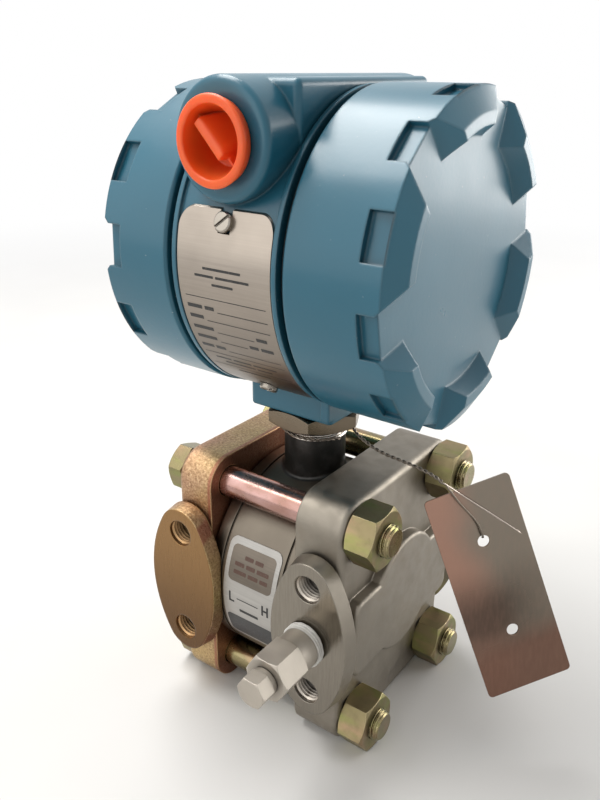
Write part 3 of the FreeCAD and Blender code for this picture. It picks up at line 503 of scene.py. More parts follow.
def gold_plate_finish():
    """Yellow chromate on a sand casting: coarse grain with painted glints on it, pink and olive drifts, machined
    bronze pad faces painted darker low and lighter high, painted shade on the inner face and in recesses, painted
    highlights along edges.
    """
    finish, base = Finish("yellow_chromate_casting"), colours().gold_plate
    tone = finish.grade(finish.noise(24.0, 3.0, 0.6), 0.3, 0.7, base, (0.45, 0.255, 0.175))
    olive = finish.noise(34.0, 2.0, 0.5, finish.stretched((1.0, 1.0, 1.0), shift=(0.3, 0.1, 0.7)))
    tone = finish.grade(olive, 0.5, 0.8, tone, (0.36, 0.30, 0.10), most=0.7)
    grain = finish.noise(1100.0, 4.0, 0.7)
    # Grain: dark pits are the casting's own; the bright specks on the grain's peaks are painted glints.
    tone = finish.grade(grain, 0.35, 0.55, tone, (0.15, 0.08, 0.036), 0.55, 0.0)
    tone = finish.grade(grain, 0.55, 0.72, tone, (0.82, 0.64, 0.40), most=0.65)
    # Painted shade: the inner face next to the module turns dark reddish brown; then painted shade in corners and
    # recesses.
    inner = finish.times(finish.beside(0, BLANK_INNER_X, 2.0 * MM), 0.75)
    tone = finish.sunk(finish.mix(inner, tone, (0.30, 0.105, 0.07)), 6.0 * MM, 0.6, (0.11, 0.055, 0.022))
    rounded = finish.rounded(1.0 * MM)
    # Painted highlight along edges.
    tone = finish.painted_edge_highlight(tone, rounded, 0.5, (0.78, 0.60, 0.30))
    machined = finish.beyond(1, PAD_FACE)
    tool = finish.streaks((1400.0, 60.0, 110.0), 3.0, 0.55, turn=(0.0, -0.7, 0.0))
    # Painted light and shade: the machined pad face runs from dark low down to light high up.
    low = finish.grade(tool, 0.2, 0.8, (0.125, 0.068, 0.030), (0.135, 0.073, 0.032))
    high = finish.grade(tool, 0.2, 0.8, (0.27, 0.155, 0.066), (0.285, 0.165, 0.071))
    bronze = finish.grade(finish.part(2), DRUM_AXIS - 28.0 * MM, DRUM_AXIS + 26.0 * MM, low, high)
    tone = finish.mix(machined, tone, bronze)
    height = finish.plus(grain, finish.times(finish.noise(240.0, 2.0), 0.7))
    height = finish.blend(machined, height, finish.times(tool, 0.04))
    gloss = finish.blend(machined, finish.span(grain, 0.3, 0.7, 0.44, 0.30), finish.span(tool, 0.3, 0.7, 0.26, 0.34))
    return finish.done(tone, gloss, finish.bump(height, 0.9, 0.32 * MM, rounded), 1.0)


def fastener_finish(name, blush=False):
    """Yellow zinc on steel: thin drifts of gold, green and pink, smears, painted shade in recesses and painted
    highlights along edges.

    With blush, it is smoother, and the bolt nearest the front and top turns pink between the flanges."""
    finish, base = Finish(name), colours().fastener_plate
    drift = finish.streaks((45.0, 130.0, 130.0), 3.0, 0.55)
    tone = finish.grade(drift, 0.40, 0.70, base, (0.235, 0.245, 0.085))
    rosy = finish.streaks((60.0, 160.0, 160.0), 3.0, 0.5, shift=(0.4, 0.2, 0.1))
    tone = finish.grade(rosy, 0.5, 0.75, tone, (0.40, 0.25, 0.17), most=0.6)
    if blush:
        pink = finish.grade(rosy, 0.3, 0.7, (0.33, 0.185, 0.15), (0.48, 0.31, 0.285))
        slant = finish.less(finish.times(finish.part(2), 0.8), finish.times(finish.part(1), 0.6))
        near_top = finish.span(slant, 66.0 * MM, 72.0 * MM)
        tone = finish.mix(finish.times(near_top, finish.beside(0, NECK_X, 30.0 * MM)), tone, pink)
    smear = finish.noise(260.0, 4.0, 0.6)
    tone = finish.grade(smear, 0.45, 0.8, tone, shade(base, 0.55), most=0.3)
    # Painted shade in corners and recesses.
    tone = finish.sunk(tone, 2.0 * MM, 0.4, (0.07, 0.055, 0.025))
    rounded = finish.rounded(0.4 * MM)
    # Painted highlight along edges.
    tone = finish.painted_edge_highlight(tone, rounded, 0.7, (0.78, 0.68, 0.42))
    low, high = (0.19, 0.30) if blush else (0.37, 0.50)
    rub = finish.bump(finish.noise(420.0, 3.0), 0.05, 0.1 * MM, rounded)
    return finish.done(tone, finish.span(smear, 0.2, 0.8, low, high), rub, 1.0)


def turned_steel_finish(name, base, axis, low=0.22, high=0.34, mouth=None):
    """Lathe-turned metal: fine rings along one axis, soft smears, painted shade in recesses and a painted highlight
    along edges.

    Low and high are its least and greatest roughness. With mouth, the distance of a hole's open end from the middle,
    the metal darkens with depth in the hole as painted shade."""
    finish = Finish(name)
    scales = [90.0, 90.0, 90.0]
    scales[axis] = 5200.0
    rings = finish.streaks(scales, 2.0, 0.6)
    cloud = finish.noise(70.0, 3.0, 0.55)
    tone = finish.grade(cloud, 0.2, 0.8, shade(base, 0.84), shade(base, 1.12))
    # Painted shade in corners and recesses.
    tone = finish.sunk(tone, 3.0 * MM, 0.7, shade(base, 0.2))
    rounded = finish.rounded(0.35 * MM)
    # Painted highlight along edges.
    tone = finish.painted_edge_highlight(tone, rounded, 0.5, shade(base, 1.5))
    # Painted shade: the metal darkens with depth inside a hole.
    if mouth is not None:
        reach = finish.amount(finish.part(axis))
        tone = finish.grade(reach, mouth - 8.0 * MM, mouth - 1.2 * MM, tone, shade(base, 0.05), 0.93, 0.0)
    gloss = finish.span(finish.plus(cloud, finish.times(rings, 0.5)), 0.5, 1.0, low, high)
    return finish.done(tone, gloss, finish.bump(rings, 0.10, 0.05 * MM, rounded), 1.0)


def drum_finish():
    """Satin drum with turning rings and painted shade in recesses, under a dark neck."""
    finish, base = Finish("satin_drum_and_dark_neck"), colours().drum_steel
    rings = finish.streaks((3600.0, 40.0, 40.0), 2.0, 0.6)
    cloud = finish.noise(45.0, 3.0, 0.6)
    tone = finish.grade(cloud, 0.2, 0.8, shade(base, 0.84), shade(base, 1.12))
    # Painted shade in corners and recesses.
    tone = finish.sunk(tone, 6.0 * MM, 0.6, shade(base, 0.2))
    about_neck = finish.stretched((1.0, 1.0, 0.0), shift=(-NECK_X, 0.0, 0.0))
    from_axis = finish.node("ShaderNodeVectorMath", {0: about_neck}, "Value", operation="LENGTH")
    neck = finish.times(finish.span(from_axis, 12.9 * MM, 12.1 * MM),
                        finish.span(finish.part(2), DRUM_AXIS + 30.0 * MM, DRUM_AXIS + 30.5 * MM))
    # Dark tone of the neck, with a faint mottle.
    scuff = finish.noise(160.0, 3.0, 0.6)
    dark_neck_tone = finish.grade(scuff, 0.4, 0.75, (0.022, 0.022, 0.020), (0.055, 0.053, 0.050))
    gloss = finish.span(finish.plus(cloud, finish.times(rings, 0.4)), 0.45, 0.95, 0.30, 0.42)
    fine = finish.bump(rings, 0.12, 0.06 * MM, finish.rounded(0.4 * MM))
    return finish.done(finish.mix(neck, tone, dark_neck_tone), gloss, fine, finish.span(neck, 0.0, 1.0, 1.0, 0.45))


def brushed_plate_finish():
    """Brushed nameplate sheet: long fine lines along the housing's axis, a painted dark reflection low down, faint
    smears and painted highlights along edges.
    """
    finish, base = Finish("brushed_nameplate"), colours().sheet_steel
    lines = finish.streaks((28.0, 2200.0, 2200.0), 3.0, 0.6)
    smear = finish.noise(40.0, 3.0, 0.6)
    tone = finish.grade(lines, 0.2, 0.8, shade(base, 0.93), shade(base, 1.07))
    # Painted reflection of a dark surface: the sheet darkens towards the bottom.
    low, high = HOUSING_AXIS - 40.0 * MM, HOUSING_AXIS + 8.0 * MM
    tone = finish.grade(finish.part(2), low, high, tone, shade(base, 0.3), 0.75, 0.0)
    tone = finish.grade(smear, 0.4, 0.8, tone, shade(base, 0.6), most=0.3)
    rounded = finish.rounded(0.25 * MM)
    # Painted highlight along edges.
    tone = finish.painted_edge_highlight(tone, rounded, 0.5, shade(base, 1.6))
    gloss = finish.span(finish.plus(lines, smear), 0.7, 1.3, 0.28, 0.40)
    return finish.done(tone, gloss, finish.bump(lines, 0.06, 0.03 * MM, rounded), 1.0)


def rolled_tag_finish():
    """Rolled tag sheet: smooth, with a painted reflection drifting from pink brown to olive grey, a dark patch,
    darker towards the bottom, a fine roll grain and painted highlights along edges.
    """
    finish, base = Finish("rolled_tag"), colours().tag_steel
    drift = finish.times(finish.less(finish.noise(34.0, 2.0, 0.45), 0.5), 16.0 * MM)
    across = finish.plus(finish.along(TAG_ACROSS, TAG_CORNER), drift)
    down = finish.plus(finish.along(TAG_DOWN, TAG_CORNER), drift)
    # Painted reflection: the tag turns from its pink brown to olive grey across its width.
    tone = finish.grade(across, 4.0 * MM, 19.0 * MM, base, (0.205, 0.175, 0.140))
    tone = finish.grade(down, 48.0 * MM, 62.0 * MM, tone, (0.15, 0.082, 0.06), most=0.9)
    # A dark patch centred 45 mm down the tag.
    from_patch = finish.amount(finish.less(down, 45.0 * MM))
    dark_patch = finish.times(finish.span(from_patch, 19.0 * MM, 2.0 * MM),
                         finish.span(across, 32.0 * MM, 10.0 * MM, 0.25, 0.85))
    tone = finish.mix(dark_patch, tone, (0.06, 0.045, 0.036))
    lines = finish.streaks((900.0, 900.0, 26.0), 3.0, 0.55, turn=(0.0, 0.4, 0.1))
    tone = finish.grade(lines, 0.3, 0.8, tone, shade(base, 1.4), most=0.07)
    rounded = finish.rounded(0.25 * MM)
    # Painted highlight along edges.
    tone = finish.painted_edge_highlight(tone, rounded, 0.4, shade(base, 1.7))
    gloss = finish.span(dark_patch, 0.0, 1.0, 0.24, 0.32)
    return finish.done(tone, gloss, finish.bump(lines, 0.025, 0.03 * MM, rounded), 1.0)


def rubber_finish():
    """Black moulded rubber with a faint bloom."""
    finish = Finish("black_seal_rubber")
    bloom = finish.noise(140.0, 3.0, 0.6)
    tone = finish.grade(bloom, 0.4, 0.8, (0.008, 0.008, 0.008), (0.022, 0.023, 0.024))
    fine = finish.bump(finish.noise(2200.0, 2.0), 0.15, 0.08 * MM)
    return finish.done(tone, finish.span(bloom, 0.3, 0.7, 0.42, 0.6), fine)


def milky(weight, radius):
    """Shader sockets for a material that lets light in: its share, and how far each colour goes."""
    return {"Subsurface Weight": weight, "Subsurface Radius": radius, "Subsurface Scale": 1.0}


def orange_plastic_finish():
    """Moulded polythene: light passes through, with flow marks and softened edges."""
    finish, base = Finish("orange_moulded_plug"), colours().plug
    flow = finish.streaks((60.0, 25.0, 60.0), 3.0, 0.55)
    tone = finish.grade(flow, 0.2, 0.8, shade(base, 0.88), shade(base, 1.06))
    # Painted shade: the plug darkens to deep red in its recess and corners.
    tone = finish.sunk(tone, 9.0 * MM, 0.55, (0.42, 0.012, 0.004))
    gloss = finish.span(flow, 0.3, 0.7, 0.32, 0.44)
    fine = finish.bump(finish.noise(800.0, 2.0), 0.08, 0.12 * MM, finish.rounded(0.6 * MM))
    return finish.done(tone, gloss, fine, extra=milky(0.5, (5.0 * MM, 1.3 * MM, 0.4 * MM)))


def tape_finish():
    """White thread-seal tape: matt and fibrous, with a little light let in."""
    finish = Finish("white_thread_tape")
    fibre = finish.streaks((300.0, 1800.0, 300.0), 3.0, 0.6)
    tone = finish.grade(fibre, 0.3, 0.75, (0.58, 0.565, 0.53), (0.78, 0.775, 0.75))
    # Painted shade between the tape's laps and in corners.
    tone = finish.sunk(tone, 1.0 * MM, 0.6, (0.26, 0.24, 0.21))
    gloss = finish.span(fibre, 0.3, 0.7, 0.42, 0.58)
    return finish.done(tone, gloss, finish.bump(fibre, 0.3, 0.1 * MM), extra=milky(0.1, (MM, MM, MM)))


def ink_finish(name, base, fade):
    """Printed ink, thinned by wear in small patches."""
    finish = Finish(name)
    wear = finish.noise(1300.0, 3.0, 0.7)
    tone = finish.grade(wear, 0.5, 0.8, base, (0.26, 0.22, 0.19), most=fade)
    return finish.done(tone, finish.span(wear, 0.3, 0.7, 0.38, 0.55), finish.bump(wear, 0.1, 0.02 * MM))


def foil_finish(name, base, metal):
    """Label foil with a satin face."""
    finish = Finish(name)
    lines = finish.streaks((60.0, 1600.0, 1600.0), 2.0, 0.6)
    tone = finish.grade(lines, 0.3, 0.7, shade(base, 0.93), shade(base, 1.05))
    tone = finish.grade(finish.noise(130.0, 3.0), 0.45, 0.8, tone, shade(base, 0.7), most=0.25)
    return finish.done(tone, finish.span(lines, 0.3, 0.7, 0.3, 0.42), finish.bump(lines, 0.06, 0.03 * MM), metal)


def moulded_finish(name, low, high, rough):
    """Moulded or pressed matt material with a fine grain."""
    finish = Finish(name)
    grain = finish.noise(900.0, 3.0, 0.6)
    fine = finish.bump(grain, 0.15, 0.08 * MM, finish.rounded(0.3 * MM))
    gloss = finish.span(grain, 0.3, 0.7, rough - 0.08, rough + 0.08)
    return finish.done(finish.grade(grain, 0.3, 0.7, low, high), gloss, fine)


def board_finish():
    """Green board with copper tracks under the mask."""
    finish = Finish("green_circuit_board")
    track = finish.node("ShaderNodeTexVoronoi", {"Vector": finish.place, "Scale": 260.0}, "Distance",
                        distance="MANHATTAN", feature="F1")
    mask = finish.grade(track, 0.42, 0.46, (0.012, 0.10, 0.035), (0.022, 0.16, 0.055))
    fine = finish.bump(track, 0.1, 0.05 * MM, finish.rounded(0.2 * MM))
    return finish.done(mask, finish.span(track, 0.2, 0.6, 0.28, 0.42), fine)


# Operators, one for each piece or group of pieces

class TRANSMITTER_OT_finishes(bpy.types.Operator):
    """Give every solid that stays in view its finish"""
    bl_idname = "transmitter.finishes"
    bl_label = "Finishes"

    def execute(self, context):
        c = colours()
        dress(paint_finish(), "electronics_housing", "circuit_cover", "terminal_cover")
        dress(blasted_steel_finish(), "process_flange")
        dress(gold_plate_finish(), "blank_flange")
        dress(fastener_finish("yellow_zinc_nuts"), "flange_nuts")
        dress(drum_finish(), "sensor_module")
        # The valve's steel is a 1.22 times lighter copy of the turned steel: painted light for its darker faces.
        dress(turned_steel_finish("turned_valve_steel", shade(c.turned_steel, 1.22), 1, 0.48, 0.58),
              "vent_valve_body", "vent_valve_stem")
        dress(turned_steel_finish("lock_nut_steel", c.lock_nut_steel, 2), "neck_lock_nut")
        dress(turned_steel_finish("screw_steel", c.turned_steel, 1), "nameplate_screws", "board_screws")
        dress(turned_steel_finish("diaphragm_steel", c.turned_steel, 0, 0.12, 0.2), "high_side_diaphragm",
              "low_side_diaphragm")
        dress(turned_steel_finish("turned_brass", c.brass, 0), "zero_screw", "span_screw", "terminal_screws",
              "board_spacers")
        dress(brushed_plate_finish(), "nameplate")
        dress(rolled_tag_finish(), "tag_plate")
        dress(rubber_finish(), "circuit_cover_seal", "terminal_cover_seal", "neck_seal")
        dress(moulded_finish("white_gasket", (0.70, 0.70, 0.67), (0.82, 0.82, 0.79), 0.55), "high_side_gasket",
              "low_side_gasket")
        dress(moulded_finish("black_terminal_moulding", (0.012, 0.012, 0.012), (0.03, 0.03, 0.03), 0.5),
              "terminal_block")
        dress(board_finish(), "amplifier_board", "calibration_board")
        dress(foil_finish("white_label_foil", (0.42, 0.405, 0.38), 0.4), "module_label")
        return {"FINISHED"}


def bolt_grid(sizes, centre, low, high):
    """A hexagon bolt along X as one grid of radius over (row, angle).

    The head's radius is the lesser of the hexagon, half flats / cos(angle from the flat's middle), and two cones
    that turn its corners off; the shank is round; the end has a helical thread whose depth grows from nothing
    over its run-in; a last cone bevels the tip."""
    flats, shank, slope = sizes.bolt_flats / 2, sizes.bolt_radius, math.tan(math.radians(30.0))
    run_in, tip_bevel, fillet, fillet_length = 2.0 * MM, 1.0 * MM, 0.3 * MM, 0.2 * MM
    face_share = 0.985
    turned = angles(sizes.bolt_columns)
    theta = sizes.bolt_turn + turned
    hexagon = flats / np.cos(np.mod(turned, math.pi / 3) - math.pi / 6)
    rise = np.linspace(0.0, (flats / math.cos(math.pi / 6) - flats) * slope, 7)
    cone = flats * face_share + rise / slope
    head_end = low + sizes.bolt_head
    head_x = np.concatenate([low + rise, head_end - rise[::-1]])
    head = np.minimum(hexagon, np.concatenate([cone, cone[::-1]])[:, None])
    start = high - sizes.bolt_thread
    thread_x = np.arange(start, high, sizes.bolt_pitch / 10)
    depth = sizes.thread_depth * ramp_up(thread_x, start, start + run_in)[:, None]
    thread = shank - depth * (1.0 - thread_wave(thread_x[:, None], theta, sizes.bolt_pitch))
    thread = np.minimum(thread, shank - tip_bevel + (high - thread_x)[:, None])
    ring = np.ones_like(theta)
    along = np.concatenate([[low], head_x, [head_end, head_end + fillet_length], thread_x, [high, high]])
    radius = np.concatenate([ring * 0.0, head, ring * (shank + fillet), ring * shank, thread,
                             ring * (shank - tip_bevel), ring * 0.0])
    return about_axis(along[:, None], radius, theta, 0, (0.0, *centre))


class TRANSMITTER_OT_flange_bolts(bpy.types.Operator):
    """Build the four flange bolts with cut threads at their ends"""
    bl_idname = "transmitter.flange_bolts"
    bl_label = "Flange bolts"

    def execute(self, context):
        sizes = context.scene.transmitter_threads
        low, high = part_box("flange_bolts")
        centres = [(y, DRUM_AXIS + z) for y in (-sizes.bolt_half_width, sizes.bolt_half_width)
                   for z in (-sizes.bolt_half_height, sizes.bolt_half_height)]
        grids = [bolt_grid(sizes, centre, low.x, high.x) for centre in centres]
        bolts = piece_from_grids("threaded_flange_bolts", grids, "sensor", fastener_finish("yellow_zinc_bolts", True),
                                 sharp=28.0)
        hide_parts("flange_bolts")
        return {"FINISHED"}


def tapped_grid(mouth, way, depth, radius, pitch, cut, centre, columns):
    """Thread inside a hole along Y that opens at the mouth on the side of the way: radius over (row, angle).

    The wall stands a hair inside the hole; its ridges reach inward by cut times the thread wave, which grows
    from nothing over the first turn."""
    hair, plain = 0.02 * MM, 0.5 * MM
    theta = angles(columns)
    inward = np.arange(hair, depth, pitch / 8)[:, None]
    ridge = thread_wave(inward, theta * way, pitch) * ramp_up(inward, plain, plain + pitch)
    return about_axis(mouth - way * inward, radius - hair - cut * ridge, theta, 1, (centre[0], 0.0, centre[1]))


class TRANSMITTER_OT_tapped_holes(bpy.types.Operator):
    """Cut threads into the pad holes, the rear port and the rear conduit hub"""
    bl_idname = "transmitter.tapped_holes"
    bl_label = "Tapped holes"

    def execute(self, context):
        sizes = context.scene.transmitter_threads
        # With the pad face as mouth, painted shade darkens the pad holes' steel with depth.
        steel = turned_steel_finish("tapped_steel", (0.52, 0.47, 0.41), 1, 0.26, 0.38, sizes.pad_face)
        bronze = turned_steel_finish("tapped_plated_steel", (0.45, 0.28, 0.14), 1, 0.3, 0.42, sizes.pad_face)
        bare = turned_steel_finish("tapped_hub", (0.42, 0.43, 0.44), 1, 0.3, 0.42)
        pad = (sizes.pad_hole_depth, sizes.pad_hole_radius, sizes.bolt_pitch, sizes.thread_depth)
        heights = (DRUM_AXIS - sizes.pad_hole_spacing / 2, DRUM_AXIS + sizes.pad_hole_spacing / 2)
        for flange, x, material, slot in (("process", PORT_X, steel, "cast_stainless"),
                                          ("blank", BLANK_PORT_X, bronze, "yellow_zinc")):
            for side, way in (("front", -1), ("rear", 1)):
                grids = [tapped_grid(way * sizes.pad_face, way, *pad, (x, z), sizes.hole_columns) for z in heights]
                piece_from_grids(f"{flange}_pad_threads_{side}", grids, "sensor", material, flip=way < 0,
                                 sharp=60.0)
        port = tapped_grid(sizes.pad_face, 1, sizes.port_depth, sizes.port_radius, sizes.port_pitch, sizes.port_cut,
                           (PORT_X, DRUM_AXIS), sizes.hole_columns)
        piece_from_grids("process_port_thread", [port], "sensor", steel, sharp=60.0)
        hub = tapped_grid(sizes.hub_face, 1, sizes.hub_depth, sizes.hub_bore_radius, sizes.hub_pitch, sizes.hub_cut,
                          (HOUSING_X, HUB_Z), sizes.columns)
        piece_from_grids("conduit_hub_thread", [hub], "housing", bare, sharp=60.0)
        return {"FINISHED"}


def plug_grid(sizes, face, tip, centre):
    """Cup of the plug: a profile turned about the hub's axis.

    The profile runs from the tip along the shank, up the ring's back, out along its tapered side, round the lip
    as two quarter arcs and down the drafted recess to the middle of its floor."""
    quarter = np.linspace(0.0, math.pi / 2, 8)
    near, far = 1.0 - np.sin(quarter), 1.0 - np.cos(quarter)
    back, floor = face + sizes.ring_length, face + sizes.recess_depth
    lip, soft = sizes.lip, 0.75 * sizes.lip
    shank = [(tip, 0.0), (tip, sizes.shank_radius - lip), (tip - lip, sizes.shank_radius),
             (back, sizes.shank_radius), (back, sizes.ring_radius - lip)]
    outer = np.column_stack([face + lip * near, sizes.ring_radius - lip * far])
    inner = np.column_stack([face + soft * far, sizes.recess_radius + soft * near])
    foot = np.column_stack([floor - soft * near, sizes.recess_floor - soft * far])
    profile = np.concatenate([shank, outer, inner, foot, [(floor, 0.0)]])
    return about_axis(profile[:, :1], profile[:, 1:], angles(sizes.columns), 1, centre)


def bar_grid(sizes, face, centre):
    """Grip bar of the plug: a closed profile carried across the recess.

    Across the bar the profile goes up a straight side, round a soft edge, over the crest and down a flank that
    falls as (1 + cos(pi * u ** 0.8)) / 2. Along the bar its height and widths ease from thin ribs at the ends to
    the full bar."""
    half, soft, sunk = 9.0 * MM, 0.8 * MM, 0.4 * MM
    thicker, rib_crest, wider_crest, fall_power = 1.1 * MM, 0.1 * MM, 0.5 * MM, 0.8
    along = np.linspace(-half, half, 73)[:, None]
    full = plateau(along, -8.2 * MM, -7.2 * MM, 4.6 * MM, 5.6 * MM)
    flare = plateau(along, -9.6 * MM, -6.0 * MM, 2.5 * MM, 8.0 * MM)
    top = sizes.rib_height + (sizes.bar_height - sizes.rib_height) * full
    side = -soft - thicker * full
    crest = rib_crest + wider_crest * full
    reach = soft + (sizes.flank - soft) * flare
    rise = np.linspace(0.0, 1.0, 5)[None, :-1]
    quarter = np.linspace(0.0, math.pi / 2, 7)[None, :-1]
    fall = np.linspace(0.0, 1.0, 17)[None, :]
    across = np.hstack([side + 0.0 * rise, side + soft * (1.0 - np.cos(quarter)), side + soft + 0.0 * top,
                        crest + (reach - crest) * fall])
    height = np.hstack([(top - soft + sunk) * rise - sunk, top - soft * (1.0 - np.sin(quarter)), top,
                        (top + sunk) * (1.0 + np.cos(math.pi * fall ** fall_power)) / 2 - sunk])
    cos, sin = math.cos(sizes.bar_turn), math.sin(sizes.bar_turn)
    grid = np.stack([along * cos + across * sin, face + sizes.recess_depth - height, across * cos - along * sin],
                    axis=-1)
    ends = np.broadcast_to(grid[[0, -1]].mean(axis=1, keepdims=True), (2,) + grid.shape[1:])
    return np.concatenate([ends[:1], grid, ends[1:]]) + np.asarray(centre)


class TRANSMITTER_OT_conduit_plug(bpy.types.Operator):
    """Mould the conduit plug with its rounded lip, drafted recess and flared grip bar"""
    bl_idname = "transmitter.conduit_plug"
    bl_label = "Conduit plug"

    def execute(self, context):
        sizes = context.scene.transmitter_plug
        low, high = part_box("conduit_plug")
        centre = (HOUSING_X, 0.0, HUB_Z)
        grids = [plug_grid(sizes, low.y, high.y, centre), bar_grid(sizes, low.y, centre)]
        plug = piece_from_grids("moulded_conduit_plug", grids, "plug", orange_plastic_finish(),
                                flip=True)
        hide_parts("conduit_plug")
        return {"FINISHED"}


class TRANSMITTER_OT_vent_seal_tape(bpy.types.Operator):
    """Wrap the vent valve's thread with seal tape

    The radius is the thread's plus a wrap that swells from nothing at both ends, with one ridge for each lap of
    the tape, |cos(pi * (ridges * share - turn))|, and sine wrinkles; its rows waver along the axis."""
    bl_idname = "transmitter.vent_seal_tape"
    bl_label = "Vent seal tape"

    def execute(self, context):
        sizes = context.scene.transmitter_threads
        low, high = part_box("vent_seal_tape")
        waver, wrinkle_height, spare, ridge_power = 0.12 * MM, 0.03 * MM, 0.15 * MM, 0.7
        under, over = 0.66, 0.34
        theta = angles(sizes.tape_columns)
        share = np.linspace(0.0, 1.0, 56)[:, None]
        ragged = waver * (np.sin(3 * theta + 0.7) + 0.6 * np.sin(7 * theta + 2.1) + 0.4 * np.sin(13 * theta))
        along = low.y + (high.y - low.y) * share + ragged * np.sin(math.pi * share) ** 2
        ridge = np.abs(np.cos(math.pi * (sizes.tape_ridges * share - theta / TURN))) ** ridge_power
        wrinkle = (np.sin(11 * theta + 900 * along) + np.sin(17 * theta - 1500 * along + 1.3)) * wrinkle_height
        wrap = (high.z - low.z) / 2 - sizes.port_radius - spare
        swell = plateau(share, 0.0, 0.07, 0.93, 1.0) * (wrap * (under + over * ridge) + wrinkle)
        grid = about_axis(along, sizes.port_radius + swell, theta, 1, (PORT_X, 0.0, DRUM_AXIS))
        tape = piece_from_grids("wrapped_seal_tape", [grid], "sensor", tape_finish(), sharp=70.0)
        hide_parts("vent_seal_tape")
        return {"FINISHED"}


class TRANSMITTER_OT_neck_thread(bpy.types.Operator):
    """Put the bright thread on the neck under the lock nut

    The radius grows from just under the neck's to the thread's root and its wave over the first run."""
    bl_idname = "transmitter.neck_thread"
    bl_label = "Neck thread"

    def execute(self, context):
        sizes = context.scene.transmitter_threads
        run_in, under, root, ridge = 0.4 * MM, 0.1 * MM, 0.18 * MM, 0.42 * MM
        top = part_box("neck_lock_nut")[0].z
        bottom = top - sizes.neck_thread
        theta = angles(sizes.columns)
        along = np.linspace(bottom, top - 0.02 * MM, 48)[:, None]
        proud = root + ridge * thread_wave(along, theta, sizes.neck_pitch)
        radius = sizes.neck_radius - under + ramp_up(along, bottom, bottom + run_in) * proud
        grid = about_axis(along, radius, theta, 2, (NECK_X, 0.0, 0.0))
        steel = turned_steel_finish("bright_neck_thread", (0.70, 0.65, 0.59), 2, 0.12, 0.22)
        piece_from_grids("neck_thread", [grid], "sensor", steel, sharp=60.0)
        return {"FINISHED"}


# Print on bent sheets

def bent(x, arc, radius, start, centre):
    """Point of a sheet bent about an X axis: arc is counted down from the start angle.

    The point is (x, -radius * sin(turn), radius * cos(turn)) about the axis, turn = start + arc / radius."""
    x, turn = np.broadcast_arrays(x, start + arc / radius)
    return np.stack([x + centre[0], -radius * np.sin(turn), centre[1] + radius * np.cos(turn)], axis=-1)


def patch(left, right, top, bottom, corner, radius, start, centre):
    """Rounded rectangle on a bent sheet as rows of points.

    A row's half width is the half width less corner - sqrt(corner^2 - past^2), where past is how far the row
    lies inside a corner's height."""
    corner, row_height = max(corner, 1e-6), 0.8 * MM
    bend = corner * (1.0 - np.cos(np.linspace(0.0, math.pi / 2, 7)))
    straight = np.linspace(top + corner, bottom - corner, max(2, int((bottom - top) / row_height)))
    arc = np.concatenate([top + bend[:-1], straight, bottom - bend[-2::-1]])
    past = np.clip(np.maximum(top + corner - arc, arc - bottom + corner), 0.0, corner)
    inset = corner - np.sqrt(np.maximum(corner ** 2 - past ** 2, 0.0))
    across = np.linspace(-1.0, 1.0, 5)[None, :]
    x = (left + right) / 2 + across * ((right - left) / 2 - inset)[:, None]
    return bent(x, arc[:, None], radius, start, centre)


def marks_piece(name, marks, sheet, lift, body, material, corner=0.0):
    """One mesh object of plain marks on a bent sheet, each (left, right, top, bottom) in millimetres.

    The sheet is its radius, start angle and centre; the marks stand proud of it by the lift."""
    radius, start, centre = sheet
    grids = [patch(*(side * MM for side in mark), corner * MM, radius + lift, start, centre) for mark in marks]
    return piece_from_grids(name, grids, body, material, closed=False, flip=True)


def bars(rows, height):
    """Plain bars in place of words: each row is (arc of the bar's foot, (left, right), ...)."""
    return [(left, right, arc - height, arc) for arc, *ends in rows for left, right in ends]


class TRANSMITTER_OT_nameplate_print(bpy.types.Operator):
    """Print ruled fields and plain bars on the nameplate"""
    bl_idname = "transmitter.nameplate_print"
    bl_label = "Nameplate print"

    def execute(self, context):
        sizes = context.scene.transmitter_print
        ink = ink_finish("nameplate_ink", (0.012, 0.012, 0.012), 0.3)
        sheet = (sizes.plate_radius, sizes.plate_top, (HOUSING_X, HOUSING_AXIS))
        half_rule, large, small = 0.13, 1.25, 0.75
        rules = [(-15.2, 15.2, 26.4), (-3.6, 15.2, 30.6), (-8.6, 15.2, 34.2), (-6.0, 8.2, 38.2), (-6.2, 4.4, 42.0),
                 (-4.6, 15.2, 45.8), (-15.6, 15.6, 48.2), (-15.6, 15.6, 54.6)]
        lines = [(left, right, arc - half_rule, arc + half_rule) for left, right, arc in rules]
        marks_piece("nameplate_rules", lines, sheet, sizes.ink_height, "housing", ink)
        names = bars([(30.3, (-15.2, -9.4), (-8.4, -4.8)), (33.9, (-15.2, -9.8)), (37.9, (-15.2, -7.2), (9.2, 13.2)),
                      (41.7, (-15.2, -7.4), (5.4, 8.8), (9.8, 14.4)), (45.5, (-15.2, -10.4), (-9.4, -5.6))], large)
        notes = bars([(17.6, (-7.4, 6.8)), (19.9, (-10.6, -3.4), (-2.6, 9.8)), (22.2, (-4.2, 3.8)),
                      (50.8, (-12.4, -6.2), (-5.4, 1.8), (2.6, 11.6)), (52.9, (-9.6, 2.4), (3.2, 9.0)),
                      (57.0, (-6.6, 6.2))], small)
        marks_piece("nameplate_bars", names + notes, sheet, sizes.ink_height, "housing", ink, 0.2)
        return {"FINISHED"}


